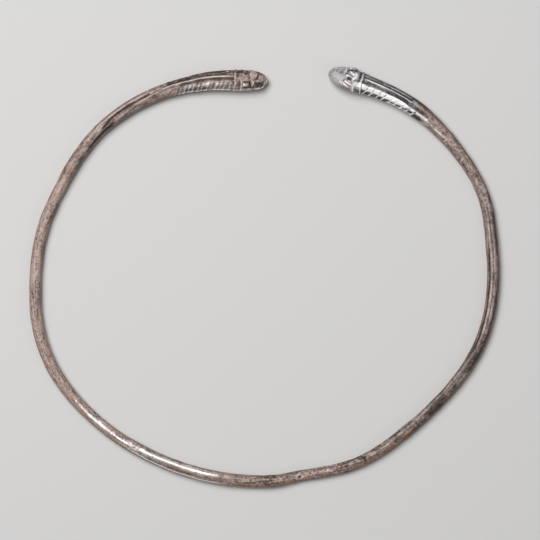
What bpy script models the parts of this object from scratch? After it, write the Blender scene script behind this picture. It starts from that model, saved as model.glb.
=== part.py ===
"""A snake-head torc: one hammered silver rod bent into an open oval hoop.

Each end of the rod swells into a keeled neck and a snake's head. The hoop lies flat on
its back, heads at +Y, with +Z up, and its lowest points are at z = 0. All sizes are metres.

The rod's middle line follows an oval whose reach is a little more or less at each
bearing, as a hand bends it. Bearings are degrees, clockwise from +Y seen from above.
A section of the rod is drawn by an angle that starts at the hoop's outer side: 90 is
the back of the snake, 180 the hoop's inner side and 270 the belly.
"""

import math
from dataclasses import dataclass

import bmesh
import bpy

# The hoop
HOOP_WIDTH = 0.1875
HOOP_DEPTH = 0.1672
ROD_THICKNESS = 0.0048
HEAD_GAP = 0.0233
GAP_BEARING = 8.25
REST_FLAT = 0.0012
FLAT_LIMIT = 0.5
PRESS = 1.5

# The bearing, the reach there as a share of the oval, and the rod's thickness as a share
HOOP_COURSE = (
    (8, 0.990, 1.00),
    (15, 1.041, 1.00),
    (19, 1.043, 1.00),
    (21.5, 1.043, 1.00),
    (25, 1.047, 1.00),
    (38, 1.061, 1.00),
    (52, 1.052, 1.00),
    (66, 1.042, 0.99),
    (80, 1.009, 1.03),
    (92, 1.000, 1.01),
    (108, 0.996, 0.98),
    (120, 0.983, 0.92),
    (130, 0.973, 0.90),
    (142, 0.976, 0.94),
    (149, 0.988, 0.93),
    (157, 0.995, 0.92),
    (170, 0.984, 0.90),
    (178, 0.998, 1.00),
    (195, 1.002, 1.06),
    (210, 1.005, 1.05),
    (225, 1.014, 0.96),
    (246, 1.025, 1.00),
    (258, 1.015, 1.00),
    (270, 1.000, 0.98),
    (285, 0.997, 0.98),
    (296, 0.995, 0.99),
    (305, 1.007, 1.06),
    (317, 1.023, 1.00),
    (332, 1.020, 1.00),
    (345, 1.000, 1.00),
    (354, 0.9765, 1.00),
    (361, 0.965, 1.00),
    (375, 0.950, 1.00),
)

# The heads
HEAD_LENGTH = 0.0135
COLLAR_RISE = 0.00028
COLLAR_WIDTH = 0.0009
SNOUT_DROOP = 0.0005
DROOP_RUN = 0.50
REST_START = 0.45
CARVING_START = 0.0012

# The necks
KEEL_RISE = 0.00036
KEEL_ANGLE = 9
KEEL_RUN_OUT = 0.003
SLANT_RUN = 0.0026
SLANT_RUN_OUT = 4

# The rod between the necks
FACET_DEPTH = 0.00007
FACETS = 5
FACET_TWISTS = 1.5

# Where a neck changes into the rod, from the first share of its length to the second
ROUNDING = (0.42, 0.85)
LEVELLING = (0.45, 0.75)

# Where the carving comes in or goes out around a section, in degrees from the back
STROKE_FADE = 20
STROKE_FOOT = (88, 108)
COLLAR_FOOT = (100, 120)
COLLAR_LEANING = (30, 100)
SLANT_TOP = (-10, 20)
SLANT_PIVOT = 60
SLANT_FOOT = (85, 150)
FACET_FADE = 75

# The height of the back and of the belly, as shares of half the width
NECK_CROWN = 0.80
NECK_BELLY = 0.72

# The points that draw a section: degrees from the back, then the belly's count
INNER_ANGLES = (5, 14, 24, 34, 44, 54, 65, 76, 88, 100)
OUTER_ANGLES = (5, 14, 26, 40, 56, 76, 96)
INNER_BELLY_POINTS = 3
OUTER_BELLY_POINTS = 2
SECTION_POINTS = len(INNER_ANGLES) + len(OUTER_ANGLES) + INNER_BELLY_POINTS + OUTER_BELLY_POINTS + 3

# How close together the sections and the points of the middle line stand
ROUTE_STEPS = 2880
SNOUT_SHARE = 0.30
SNOUT_STEPS = 8
HEAD_STEP = 0.00040
STROKE_RINGS = 3
NECK_STEP = 0.0060
ROD_STEP = 0.0078

# The finish
SILVER = (0.36, 0.31, 0.285, 1.0)
SILVER_METAL = 0.9
SILVER_ROUGHNESS = 0.42
SHARP_ANGLE = 80


@dataclass
class Form:
    """A ridge or hollow of a head, along a line of shares of its length and angles from its back.

    The width to its foot, the rise, and the radius where the form is a ring are shares of the
    head's length too, and flat is the share of its width that stays at full height.
    """

    name: str
    path: tuple
    foot: float
    rise: float
    ring: float = 0.0
    flat: float = 0.0
    both_sides: bool = False


@dataclass
class End:
    """One end of the rod: its head's and neck's own sizes, and its carving."""

    head_width: float
    neck_length: float
    roll: float
    keel_end: float
    collar_forward: float
    collar_lean: float
    stroke_gap: float
    stroke_count: int
    stroke_pitch: float
    stroke_lean: float
    stroke_depth: float
    stroke_top: float
    head_outline: tuple
    neck_outline: tuple
    forms: tuple


RIGHT_FORMS = (
    Form("eye", ((0.54, 45), (0.63, 49), (0.73, 53)), 0.056, 0.040, both_sides=True),
    Form("eye groove", ((0.49, 45), (0.57, 54), (0.67, 60), (0.74, 62)), 0.034, -0.034, both_sides=True),
    Form("cheek", ((0.52, 60), (0.59, 66), (0.69, 71)), 0.038, 0.026, both_sides=True),
    Form("rim of the snout cap", ((0.42, -84), (0.49, -24), (0.45, 9), (0.48, 24)), 0.040, 0.020),
    Form("crown bar", ((0.49, -88), (0.53, -60), (0.60, -38)), 0.038, 0.020),
    Form("step behind the cap", ((0.56, -17), (0.67, -31), (0.80, -36)), 0.056, -0.022),
    Form("crown bar across", ((0.57, -14), (0.66, -9), (0.73, 0)), 0.044, 0.028),
    Form("rear knob", ((0.81, -15), (0.77, -6)), 0.044, 0.024),
    Form("rear bar", ((0.82, -8), (0.84, 8), (0.76, 15)), 0.038, 0.022),
    Form("crown hollow", ((0.63, 25),), 0.070, -0.032),
    Form("jaw bar", ((0.79, 56), (0.82, 71), (0.84, 86)), 0.040, 0.024, both_sides=True),
    Form("jaw groove", ((0.88, 50), (0.92, 75), (0.95, 96)), 0.044, -0.014, both_sides=True),
    Form("mouth", ((0.18, 84), (0.37, 82), (0.56, 86)), 0.034, -0.016, both_sides=True),
)
LEFT_FORMS = (
    Form("eye", ((0.64, 46),), 0.096, 0.046),
    Form("outer eye", ((0.64, -46),), 0.096, 0.022),
    Form("eye socket", ((0.64, 46),), 0.038, -0.022, ring=0.114),
    Form("brow", ((0.81, 19), (0.75, 13), (0.55, 14)), 0.046, 0.026),
    Form("cheek", ((0.50, 16), (0.43, 27), (0.43, 48), (0.54, 74)), 0.050, 0.036, both_sides=True),
    Form("jaw bar", ((0.79, 19), (0.77, 40), (0.78, 62)), 0.040, 0.032),
    Form("jaw groove", ((0.87, 16), (0.88, 94)), 0.046, -0.018, both_sides=True),
    Form("forehead boss", ((0.44, -13),), 0.138, 0.034, flat=0.6),
    Form("step before the boss", ((0.31, -30), (0.31, -10), (0.37, 13)), 0.034, -0.028),
    Form("muzzle", ((0.26, -14), (0.25, 6)), 0.064, 0.019),
    Form("nostril", ((0.14, 42), (0.24, 40), (0.35, 37)), 0.070, -0.044),
    Form("outer nostril", ((0.20, -52), (0.27, -46)), 0.060, -0.028),
    Form("mouth", ((0.10, 72), (0.38, 57), (0.47, 68), (0.61, 74)), 0.034, -0.034, both_sides=True),
    Form("lower lip", ((0.13, 84), (0.40, 82), (0.53, 88)), 0.036, 0.024, both_sides=True),
    Form("temple square", ((0.73, -16), (0.82, -16)), 0.050, 0.020, flat=0.4),
)

# An outline's pairs are a share of the length and a share of the width. In front of its
# first pair a head is round.
RIGHT_END = End(
    head_width=0.0098,
    neck_length=0.070,
    roll=32,
    keel_end=0.036,
    collar_forward=0.0,
    collar_lean=0.0008,
    stroke_gap=0.0021,
    stroke_count=9,
    stroke_pitch=0.0027,
    stroke_lean=-0.34,
    stroke_depth=0.00018,
    stroke_top=30,
    head_outline=(
        (0.04, 0.35),
        (0.10, 0.55),
        (0.20, 0.74),
        (0.38, 0.91),
        (0.58, 0.99),
        (0.80, 1.0),
        (1.0, 0.93),
    ),
    neck_outline=(
        (0.0, 0.90),
        (0.05, 0.74),
        (0.12, 0.68),
        (0.29, 0.56),
        (0.42, 0.48),
        (0.56, 0.29),
        (0.82, 0.08),
        (1.0, 0.0),
    ),
    forms=RIGHT_FORMS,
)
LEFT_END = End(
    head_width=0.0088,
    neck_length=0.080,
    roll=25,
    keel_end=0.044,
    collar_forward=0.0005,
    collar_lean=0.0005,
    stroke_gap=0.0002,
    stroke_count=13,
    stroke_pitch=0.00184,
    stroke_lean=0.36,
    stroke_depth=0.00025,
    stroke_top=24,
    head_outline=(
        (0.04, 0.31),
        (0.11, 0.55),
        (0.23, 0.76),
        (0.41, 0.89),
        (0.60, 0.96),
        (0.80, 1.0),
        (1.0, 0.98),
    ),
    neck_outline=(
        (0.0, 0.97),
        (0.07, 0.86),
        (0.17, 0.70),
        (0.22, 0.62),
        (0.28, 0.44),
        (0.40, 0.35),
        (0.68, 0.17),
        (1.0, 0.0),
    ),
    forms=LEFT_FORMS,
)


def ease(low, high, value):
    """Rises smoothly from 0 at low to 1 at high."""
    share = min(max((value - low) / (high - low), 0.0), 1.0)
    return share * share * (3 - 2 * share)


def bump(distance, half_width):
    """A rounded rise of height 1 that reaches its foot at half_width."""
    share = abs(distance) / half_width
    return (1 - share * share) ** 2 if share < 1 else 0.0


def smooth_through(points, column, place):
    """Reads a smooth curve through the points, whose first column is the place along it."""
    last = len(points) - 2
    at = next((i for i in range(last + 1) if place < points[i + 1][0]), last)
    before, here = points[max(at - 1, 0)], points[at]
    there, after = points[at + 1], points[min(at + 2, last + 1)]
    gap = there[0] - here[0]
    slope_here = (there[column] - before[column]) / (there[0] - before[0]) * gap
    slope_there = (after[column] - here[column]) / (after[0] - here[0]) * gap
    t = min(max((place - here[0]) / gap, 0.0), 1.0)
    return (
        here[column] * (1 + 2 * t) * (1 - t) ** 2
        + slope_here * t * (1 - t) ** 2
        + there[column] * t * t * (3 - 2 * t)
        + slope_there * t * t * (t - 1)
    )


def hoop_point(bearing):
    """A point of the rod's middle line, seen from above."""
    reach = smooth_through(HOOP_COURSE, 1, bearing)
    angle = math.radians(bearing)
    x = (HOOP_WIDTH - ROD_THICKNESS) / 2 * reach * math.sin(angle)
    y = (HOOP_DEPTH - ROD_THICKNESS) / 2 * reach * math.cos(angle)
    return x, y


class Route:
    """The rod's middle line by its length, from the right snout clockwise to the left one."""

    def __init__(self, steps=ROUTE_STEPS):
        half_gap = math.degrees(HEAD_GAP / (HOOP_WIDTH - ROD_THICKNESS))
        first = GAP_BEARING + half_gap
        last = 360 + GAP_BEARING - half_gap
        self.bearings = [first + (last - first) * i / steps for i in range(steps + 1)]
        self.points = [hoop_point(bearing) for bearing in self.bearings]
        self.lengths = [0.0]
        for before, here in zip(self.points, self.points[1:]):
            self.lengths.append(self.lengths[-1] + math.dist(before, here))
        self.length = self.lengths[-1]

    def at(self, length):
        """The point, the outward direction and the bearing at a length from the right snout."""
        low, high = 0, len(self.lengths) - 1
        while high - low > 1:
            middle = (low + high) // 2
            if self.lengths[middle] <= length:
                low = middle
            else:
                high = middle
        share = (length - self.lengths[low]) / (self.lengths[high] - self.lengths[low])
        start, stop = self.points[low], self.points[high]
        ahead = [(b - a) / math.dist(start, stop) for a, b in zip(start, stop)]
        point = [a + (b - a) * share for a, b in zip(start, stop)]
        bearing = self.bearings[low] + (self.bearings[high] - self.bearings[low]) * share
        return point, (-ahead[1], ahead[0]), bearing


def head_share(end, along):
    """The head's width as a share of its widest, at a share of its length from the snout."""
    tip, tip_width = end.head_outline[0]
    if along < tip:
        return tip_width * math.sqrt(along / tip)
    return smooth_through(end.head_outline, 1, along)


def half_width(end, distance, bearing):
    """Half the width of the section, before it is rolled."""
    rod = ROD_THICKNESS * smooth_through(HOOP_COURSE, 2, bearing)
    if distance < HEAD_LENGTH:
        return end.head_width / 2 * head_share(end, distance / HEAD_LENGTH)
    along = (distance - HEAD_LENGTH) / (end.neck_length - HEAD_LENGTH)
    swell = smooth_through(end.neck_outline, 1, along)
    return (rod + (end.head_width - rod) * swell) / 2


def neck_share(end, distance):
    """1 at the head and the carved neck, 0 where the plain rod starts."""
    return 1 - ease(*ROUNDING, distance / end.neck_length)


def roll_of(end, distance):
    """How far the back leans outward, in degrees: the plain rod doesn't lean."""
    return end.roll * (1 - ease(*LEVELLING, distance / end.neck_length))


def heights(end, distance, width):
    """How far the back and the belly stand from the middle line."""
    neck = neck_share(end, distance)
    crown = width * (1 + (NECK_CROWN - 1) * neck)
    belly = width * (1 + (NECK_BELLY - 1) * neck)
    return crown, belly


def first_stroke(end):
    """Where the first cut stands."""
    return HEAD_LENGTH + COLLAR_WIDTH + end.stroke_gap


def stroked_end(end):
    """Where the row of cuts ends."""
    return first_stroke(end) + end.stroke_count * end.stroke_pitch


def keel(end, distance, from_back):
    """The sharp line along the back of the neck."""
    along = ease(HEAD_LENGTH, HEAD_LENGTH + COLLAR_WIDTH * 2, distance)
    along *= 1 - ease(end.keel_end - KEEL_RUN_OUT, end.keel_end, distance)
    return KEEL_RISE * along * bump(from_back, KEEL_ANGLE)


def strokes(end, distance, from_back):
    """The row of slanting cuts down the inner side of the neck, one to each third ring."""
    count = (distance - first_stroke(end)) / end.stroke_pitch
    if not -0.5 < count < end.stroke_count - 0.5:
        return 0.0
    across = ease(end.stroke_top, end.stroke_top + STROKE_FADE, from_back)
    across *= 1 - ease(*STROKE_FOOT, from_back)
    nearest = (count - round(count)) * end.stroke_pitch
    return -end.stroke_depth * across * bump(nearest, end.stroke_pitch / STROKE_RINGS)


def collar(end, distance, from_back):
    """The raised line that ends the head."""
    place = HEAD_LENGTH - end.collar_forward + end.collar_lean * ease(*COLLAR_LEANING, from_back)
    away = distance - place
    return COLLAR_RISE * bump(away, COLLAR_WIDTH) * (1 - ease(*COLLAR_FOOT, abs(from_back)))


def distance_to_line(spot, line):
    """How far a spot is from a line through two or more points, or from a single one."""
    nearest = math.dist(spot, line[0])
    for start, stop in zip(line, line[1:]):
        ahead = (stop[0] - start[0], stop[1] - start[1])
        part = (spot[0] - start[0]) * ahead[0] + (spot[1] - start[1]) * ahead[1]
        part = min(max(part / (ahead[0] ** 2 + ahead[1] ** 2), 0.0), 1.0)
        foot = (start[0] + part * ahead[0], start[1] + part * ahead[1])
        nearest = min(nearest, math.dist(spot, foot))
    return nearest


def form_height(form, distance, from_back, width):
    """How far a form of the head stands out at a place."""
    shown = 0.0
    spot = (distance, math.radians(from_back) * width)
    for side in (1, -1) if form.both_sides else (1,):
        line = [(share * HEAD_LENGTH, math.radians(side * angle) * width) for share, angle in form.path]
        away = abs(distance_to_line(spot, line) / HEAD_LENGTH - form.ring) / form.foot
        away = max((away - form.flat) / (1 - form.flat), 0.0)
        shown = max(shown, bump(away, 1.0))
    return form.rise * HEAD_LENGTH * shown


def facets(end, distance, angle, turn):
    """The broad flats that hammering leaves along the plain rod, away from its underside."""
    plain = (1 - neck_share(end, distance)) * (1 - bump(angle - 270, FACET_FADE))
    return FACET_DEPTH * plain * math.cos(math.radians(FACETS * angle) + FACET_TWISTS * turn)


def relief(end, distance, angle, width, turn):
    """How far the carving stands out at a place, square to the section's outline."""
    from_back = (angle - 90 + 180) % 360 - 180
    raised = facets(end, distance, angle, turn)
    if distance < end.neck_length:
        raised += keel(end, distance, from_back) + strokes(end, distance, from_back)
        raised += collar(end, distance, from_back)
    if distance < HEAD_LENGTH:
        raised += sum(form_height(form, distance, from_back, width) for form in end.forms)
    return raised * ease(0, CARVING_START, distance)


def lowest_angle(width, belly, roll):
    """The section angle of the lowest point, once the section is rolled."""
    lean = math.radians(roll)
    return 360 - math.degrees(math.atan2(belly * math.cos(lean), width * math.sin(lean)))


def section_angles(width, belly, roll):
    """The angles of a section's points: two of them stand on the flat of the underside."""
    low = lowest_angle(width, belly, roll)
    tilt = math.radians(low)
    speed = math.hypot(width * math.sin(tilt), belly * math.cos(tilt))
    half_flat = math.degrees(math.asin(min(REST_FLAT / 2 / speed, FLAT_LIMIT)))
    outer = [90 - step for step in reversed(OUTER_ANGLES)]
    inner = [90 + step for step in INNER_ANGLES]
    first_low, last_low = low - half_flat, low + half_flat
    gap = (first_low - inner[-1]) / (INNER_BELLY_POINTS + 1)
    inner_belly = [inner[-1] + gap * (i + 1) for i in range(INNER_BELLY_POINTS)]
    gap = (360 + outer[0] - last_low) / (OUTER_BELLY_POINTS + 1)
    outer_belly = [last_low + gap * (i + 1) for i in range(OUTER_BELLY_POINTS)]
    return outer + [90] + inner + inner_belly + [first_low, last_low] + outer_belly


def section_point(width, crown, belly, angle, raised):
    """A point of the section, sideways and up from its middle, with the carving on it."""
    tilt = math.radians(angle)
    height = crown if math.sin(tilt) > 0 else belly
    side, up = math.cos(tilt) * width, math.sin(tilt) * height
    out_side, out_up = math.cos(tilt) * height, math.sin(tilt) * width
    size = math.hypot(out_side, out_up)
    return side + raised * out_side / size, up + raised * out_up / size


def middle_height(end, distance, bearing):
    """How high the middle line runs, so that the underside rests at z = 0."""
    level = max(distance, HEAD_LENGTH * REST_START)
    width = half_width(end, level, bearing)
    belly = heights(end, level, width)[1]
    lean = math.radians(roll_of(end, level))
    depth = math.hypot(width * math.sin(lean), belly * math.cos(lean))
    drop = REST_FLAT * REST_FLAT / 8 / depth * PRESS
    droop = SNOUT_DROOP * (1 - ease(0, HEAD_LENGTH * DROOP_RUN, distance))
    return depth - drop - droop


def slanted(end, distance, from_back):
    """The distance along the rod at one point of a ring, where rings slant with the strokes."""
    slant_start = HEAD_LENGTH + COLLAR_WIDTH / 2
    along = ease(slant_start, slant_start + SLANT_RUN, distance)
    along *= 1 - ease(0, SLANT_RUN_OUT * end.stroke_pitch, distance - stroked_end(end))
    inner = ease(*SLANT_TOP, from_back) * (1 - ease(*SLANT_FOOT, from_back))
    side = math.radians(from_back - SLANT_PIVOT) * end.head_width / 2
    return distance + end.stroke_lean * side * along * inner


def snout_tip(route, end):
    """The first ring of an end: every point at the tip of the snout."""
    middle, _, bearing = route.at(0 if end is RIGHT_END else route.length)
    return [(*middle, middle_height(end, 0, bearing))] * SECTION_POINTS


def ring(route, end, distance):
    """The points of one section of the rod, in place."""
    from_right = end is RIGHT_END
    length = distance if from_right else route.length - distance
    bearing = route.at(length)[2]
    width = half_width(end, distance, bearing)
    crown, belly = heights(end, distance, width)
    roll = roll_of(end, distance)
    points = []
    for angle in section_angles(width, belly, roll):
        from_back = (angle - 90 + 180) % 360 - 180
        place = slanted(end, distance, from_back)
        middle, outward, here = route.at(place if from_right else route.length - place)
        raised = relief(end, distance, angle, width, math.radians(here))
        side, up = section_point(width, crown, belly, angle, raised)
        lean = math.radians(roll)
        out = side * math.cos(lean) + up * math.sin(lean)
        z = up * math.cos(lean) - side * math.sin(lean) + middle_height(end, distance, here)
        points.append((middle[0] + outward[0] * out, middle[1] + outward[1] * out, max(z, 0.0)))
    return points


def end_distances(end):
    """Where an end's sections stand, from its snout to the end of its neck."""
    snout_end = HEAD_LENGTH * SNOUT_SHARE
    places = [snout_end * (i / SNOUT_STEPS) ** 2 for i in range(1, SNOUT_STEPS)]
    steps = round((HEAD_LENGTH + COLLAR_WIDTH - snout_end) / HEAD_STEP)
    places += [snout_end + (HEAD_LENGTH + COLLAR_WIDTH - snout_end) * i / steps for i in range(steps + 1)]
    rings = end.stroke_count * STROKE_RINGS
    places += [first_stroke(end) + end.stroke_pitch * i / STROKE_RINGS for i in range(rings)]
    rest = end.neck_length - places[-1]
    steps = max(round(rest / NECK_STEP), 1)
    return places + [places[-1] + rest * (i + 1) / steps for i in range(steps)]


def all_rings(route):
    """Every section, from the right snout round to the left one."""
    right = [ring(route, RIGHT_END, distance) for distance in end_distances(RIGHT_END)]
    left = [ring(route, LEFT_END, distance) for distance in end_distances(LEFT_END)]
    rod = route.length - RIGHT_END.neck_length - LEFT_END.neck_length
    steps = round(rod / ROD_STEP)
    plain = [ring(route, RIGHT_END, RIGHT_END.neck_length + rod * i / steps) for i in range(1, steps)]
    tips = [snout_tip(route, RIGHT_END)], [snout_tip(route, LEFT_END)]
    return tips[0] + right + plain + left[::-1] + tips[1]


def skin_mesh(name, rings):
    """One closed mesh: a grid whose rows become the rings, rolled up and closed at the snouts."""
    mesh = bpy.data.meshes.new(name)
    bm = bmesh.new()
    sides = len(rings[0])
    bmesh.ops.create_grid(bm, x_segments=len(rings) - 1, y_segments=sides, size=0.5)
    for vert in bm.verts:
        row = round((vert.co.x + 0.5) * (len(rings) - 1))
        column = round((vert.co.y + 0.5) * sides)
        vert.co = rings[row][column % sides]
    bmesh.ops.remove_doubles(bm, verts=bm.verts, dist=1e-6)
    bmesh.ops.recalc_face_normals(bm, faces=bm.faces)
    bm.to_mesh(mesh)
    bm.free()
    return mesh


def centre_on_floor(mesh):
    """Puts the middle of the outline, seen from above, over the origin."""
    for axis in (0, 1):
        places = [vert.co[axis] for vert in mesh.vertices]
        middle = (min(places) + max(places)) / 2
        for vert in mesh.vertices:
            vert.co[axis] -= middle


def silver():
    """Old silver under a warm grey skin."""
    material = bpy.data.materials.new("aged_silver")
    material.use_nodes = True
    shader = material.node_tree.nodes["Principled BSDF"]
    shader.inputs["Base Color"].default_value = SILVER
    shader.inputs["Metallic"].default_value = SILVER_METAL
    shader.inputs["Roughness"].default_value = SILVER_ROUGHNESS
    return material


def clear_scene():
    """Removes whatever the scene starts with."""
    for obj in list(bpy.data.objects):
        bpy.data.objects.remove(obj)


def main():
    """Builds the torc in a collection of its own."""
    clear_scene()
    collection = bpy.data.collections.new("snake_head_torc")
    bpy.context.scene.collection.children.link(collection)
    mesh = skin_mesh("torc", all_rings(Route()))
    centre_on_floor(mesh)
    mesh.shade_smooth()
    mesh.set_sharp_from_angle(angle=math.radians(SHARP_ANGLE))
    mesh.materials.append(silver())
    collection.objects.link(bpy.data.objects.new("torc", mesh))


main()
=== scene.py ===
"""The looks of a snake-head torc: one hammered silver rod, bent into an open oval hoop.

Each end of the rod swells into a keeled neck and a snake's head. The hoop lies flat on its
back, heads at +Y. The skin is one closed mesh: rows of points across the rod, from the right
snout clockwise to the left one, that follow the same course and sections as the solid.

Places on the skin are given as a distance from the nearer snout and an angle in degrees from
the back of the snake, plus towards the hoop's inner side. In the tables of marks and patches
the distances, widths and rises are millimetres. All other sizes are metres.
"""

import math
from dataclasses import dataclass

import bmesh
import bpy
import numpy as np
from bpy.props import FloatProperty, FloatVectorProperty, IntProperty, PointerProperty
from bpy.types import Operator, Panel, PropertyGroup
from mathutils import Matrix, Vector, noise


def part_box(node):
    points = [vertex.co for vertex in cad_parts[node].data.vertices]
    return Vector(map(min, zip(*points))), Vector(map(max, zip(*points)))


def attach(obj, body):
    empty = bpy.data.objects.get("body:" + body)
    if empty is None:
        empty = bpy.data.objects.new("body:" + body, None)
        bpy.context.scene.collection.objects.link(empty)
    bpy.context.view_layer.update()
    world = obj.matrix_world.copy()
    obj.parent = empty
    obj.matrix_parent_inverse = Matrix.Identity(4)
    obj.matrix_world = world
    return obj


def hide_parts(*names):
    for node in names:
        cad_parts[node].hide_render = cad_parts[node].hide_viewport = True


bl_info = {
    "name": "Snake-head torc",
    "version": (1, 0, 0),
    "blender": (4, 5, 0),
    "location": "3D View > Sidebar > Torc",
    "description": "Dresses a silver snake-head torc and sets it on a plain stage",
    "category": "Object",
}

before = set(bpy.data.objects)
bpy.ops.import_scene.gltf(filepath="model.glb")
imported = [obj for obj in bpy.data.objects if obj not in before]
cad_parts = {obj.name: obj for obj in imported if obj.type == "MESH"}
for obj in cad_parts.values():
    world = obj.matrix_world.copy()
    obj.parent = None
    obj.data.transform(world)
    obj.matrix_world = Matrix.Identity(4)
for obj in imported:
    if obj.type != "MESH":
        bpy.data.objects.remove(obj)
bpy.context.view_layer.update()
CAD_LOW, CAD_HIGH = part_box("torc")
MM = 0.001

# The bearing in degrees clockwise from +Y, the reach there as a share of the oval, and the
# rod's thickness as a share
HOOP_COURSE = (
    (8, 0.990, 1.00),
    (15, 1.041, 1.00),
    (19, 1.043, 1.00),
    (21.5, 1.043, 1.00),
    (25, 1.047, 1.00),
    (38, 1.061, 1.00),
    (52, 1.052, 1.00),
    (66, 1.042, 0.99),
    (80, 1.009, 1.03),
    (92, 1.000, 1.01),
    (108, 0.996, 0.98),
    (120, 0.983, 0.92),
    (130, 0.973, 0.90),
    (142, 0.976, 0.94),
    (149, 0.988, 0.93),
    (157, 0.995, 0.92),
    (170, 0.984, 0.90),
    (178, 0.998, 1.00),
    (195, 1.002, 1.06),
    (210, 1.005, 1.05),
    (225, 1.014, 0.96),
    (246, 1.025, 1.00),
    (258, 1.015, 1.00),
    (270, 1.000, 0.98),
    (285, 0.997, 0.98),
    (296, 0.995, 0.99),
    (305, 1.007, 1.06),
    (317, 1.023, 1.00),
    (332, 1.020, 1.00),
    (345, 1.000, 1.00),
    (354, 0.9765, 1.00),
    (361, 0.965, 1.00),
    (375, 0.950, 1.00),
)

# An outline's pairs are a share of the length and a share of the width. In front of its
# first pair a head is round.
RIGHT_HEAD_OUTLINE = (
    (0.04, 0.35),
    (0.10, 0.55),
    (0.20, 0.74),
    (0.38, 0.91),
    (0.58, 0.99),
    (0.80, 1.0),
    (1.0, 0.93),
)
RIGHT_NECK_OUTLINE = (
    (0.0, 0.90),
    (0.05, 0.74),
    (0.12, 0.68),
    (0.29, 0.56),
    (0.42, 0.48),
    (0.56, 0.29),
    (0.82, 0.08),
    (1.0, 0.0),
)
LEFT_HEAD_OUTLINE = (
    (0.04, 0.31),
    (0.11, 0.55),
    (0.23, 0.76),
    (0.41, 0.89),
    (0.60, 0.96),
    (0.80, 1.0),
    (1.0, 0.98),
)
LEFT_NECK_OUTLINE = (
    (0.0, 0.97),
    (0.07, 0.86),
    (0.17, 0.70),
    (0.22, 0.62),
    (0.28, 0.44),
    (0.40, 0.35),
    (0.68, 0.17),
    (1.0, 0.0),
)


@dataclass
class Mark:
    """A ridge, groove, boss or patch that follows a line drawn on the skin.

    The path holds pairs of a distance and an angle, and one pair alone makes a round mark.
    The amount is the rise of a carved mark or the strength of a patch. With a ring radius the
    mark is a ring round the path, flat is the share of the half width that stays at full
    height, and a mark on both sides is repeated on the outer side.
    """

    name: str
    path: tuple
    half_width: float
    amount: float
    ring: float = 0.0
    flat: float = 0.0
    both_sides: bool = False


# Paths that a form shares with another or with its finish
LEFT_EYE = ((8.65, 50),)
RIGHT_EYE = ((7.3, 45), (8.5, 49), (9.9, 53))
CROWN_PIT = ((6.9, 2),)
CROWN_HOLLOW = ((8.1, 24), (8.9, 26))
SMALL_KNOB = ((7.1, 14), (8.2, 15))
PUNCHED_DOT = ((10.1, 22),)
INNER_NECK_GROOVE = ((66, 34), (72, 42), (80, 42))
PIT = ((235.2, -6), (235.8, -14))

LEFT_CARVING = (
    Mark("eyeball", LEFT_EYE, 1.25, 0.62),
    Mark("outer eyeball", ((8.65, -46),), 1.25, 0.28),
    Mark("eye socket", LEFT_EYE, 0.34, -0.08, ring=1.50),
    Mark("lid crease", ((9.9, 36), (9.0, 31), (7.8, 32)), 0.36, -0.26),
    Mark("front of the eye", ((7.1, 38), (7.0, 60)), 0.36, -0.30),
    Mark("under the eye", ((7.6, 66), (8.8, 69), (9.8, 66)), 0.34, -0.14),
    Mark("brow", ((10.9, 19), (10.1, 13), (8.8, 12), (8.2, 12)), 0.55, 0.34),
    Mark("crown", ((9.1, -2), (9.0, -8)), 0.60, 0.14),
    Mark("gap behind the boss", ((8.0, -34), (7.9, -8), (7.3, 10), (7.1, 26)), 0.36, -0.09),
    Mark(
        "cheek",
        ((6.8, 16), (5.8, 27), (5.8, 48), (6.7, 66), (7.2, 76)),
        0.66,
        0.38,
        both_sides=True,
    ),
    Mark("jaw bar", ((10.6, 19), (10.4, 40), (10.5, 62)), 0.45, 0.44),
    Mark("foot of the jaw bar", ((10.5, 60), (10.7, 84)), 0.45, 0.20),
    Mark("outer jaw bar", ((10.6, -36), (10.6, -84)), 0.55, 0.14),
    Mark("jaw groove", ((11.5, 16), (11.5, 60), (11.6, 94)), 0.50, -0.16, both_sides=True),
    Mark("rear jaw knob", ((12.6, 42),), 0.55, 0.24),
    Mark("forehead boss", ((5.95, -13),), 1.80, 0.46, flat=0.62),
    Mark("boss rim", ((6.9, -37), (5.7, -43), (4.7, -32), (4.45, -15), (4.9, -1)), 0.34, 0.24),
    Mark("boss dimple", ((6.3, -15),), 0.55, -0.07),
    Mark("boss shadow", ((3.95, -30), (3.95, -10), (4.2, 4), (4.8, 14)), 0.34, -0.30),
    Mark("muzzle", ((3.2, -14), (3.1, 6)), 0.80, 0.24),
    Mark("muzzle rim", ((2.1, -30), (2.1, -5), (2.2, 22)), 0.34, 0.18),
    Mark("nostril", ((1.7, 46), (3.2, 42), (4.7, 39)), 1.00, -0.56),
    Mark("outer nostril", ((2.7, -52), (3.6, -46)), 0.80, -0.40),
    Mark("snout waist", ((1.6, -60), (1.6, 0), (1.6, 60)), 0.34, -0.20),
    Mark("snout pit", ((1.0, 8),), 0.45, -0.30),
    Mark(
        "mouth",
        ((1.4, 72), (3.1, 66), (5.1, 57), (6.4, 68), (8.2, 74)),
        0.36,
        -0.50,
        both_sides=True,
    ),
    Mark("lower lip", ((1.8, 84), (3.6, 84), (5.4, 82), (7.2, 88)), 0.45, 0.34, both_sides=True),
    Mark("temple square", ((9.9, -16), (11.1, -16)), 0.62, 0.14, flat=0.5),
    Mark("temple groove", ((9.6, -29), (11.4, -29)), 0.34, -0.26),
    Mark("temple notch", ((8.8, -26), (9.0, -10)), 0.32, -0.34),
    Mark("lower edge", ((10.8, 92), (14.0, 92), (28.0, 92), (38.0, 90)), 0.45, 0.22),
    Mark("nick", ((15.6, -35), (16.6, -38)), 0.30, 0.20),
)

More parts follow.
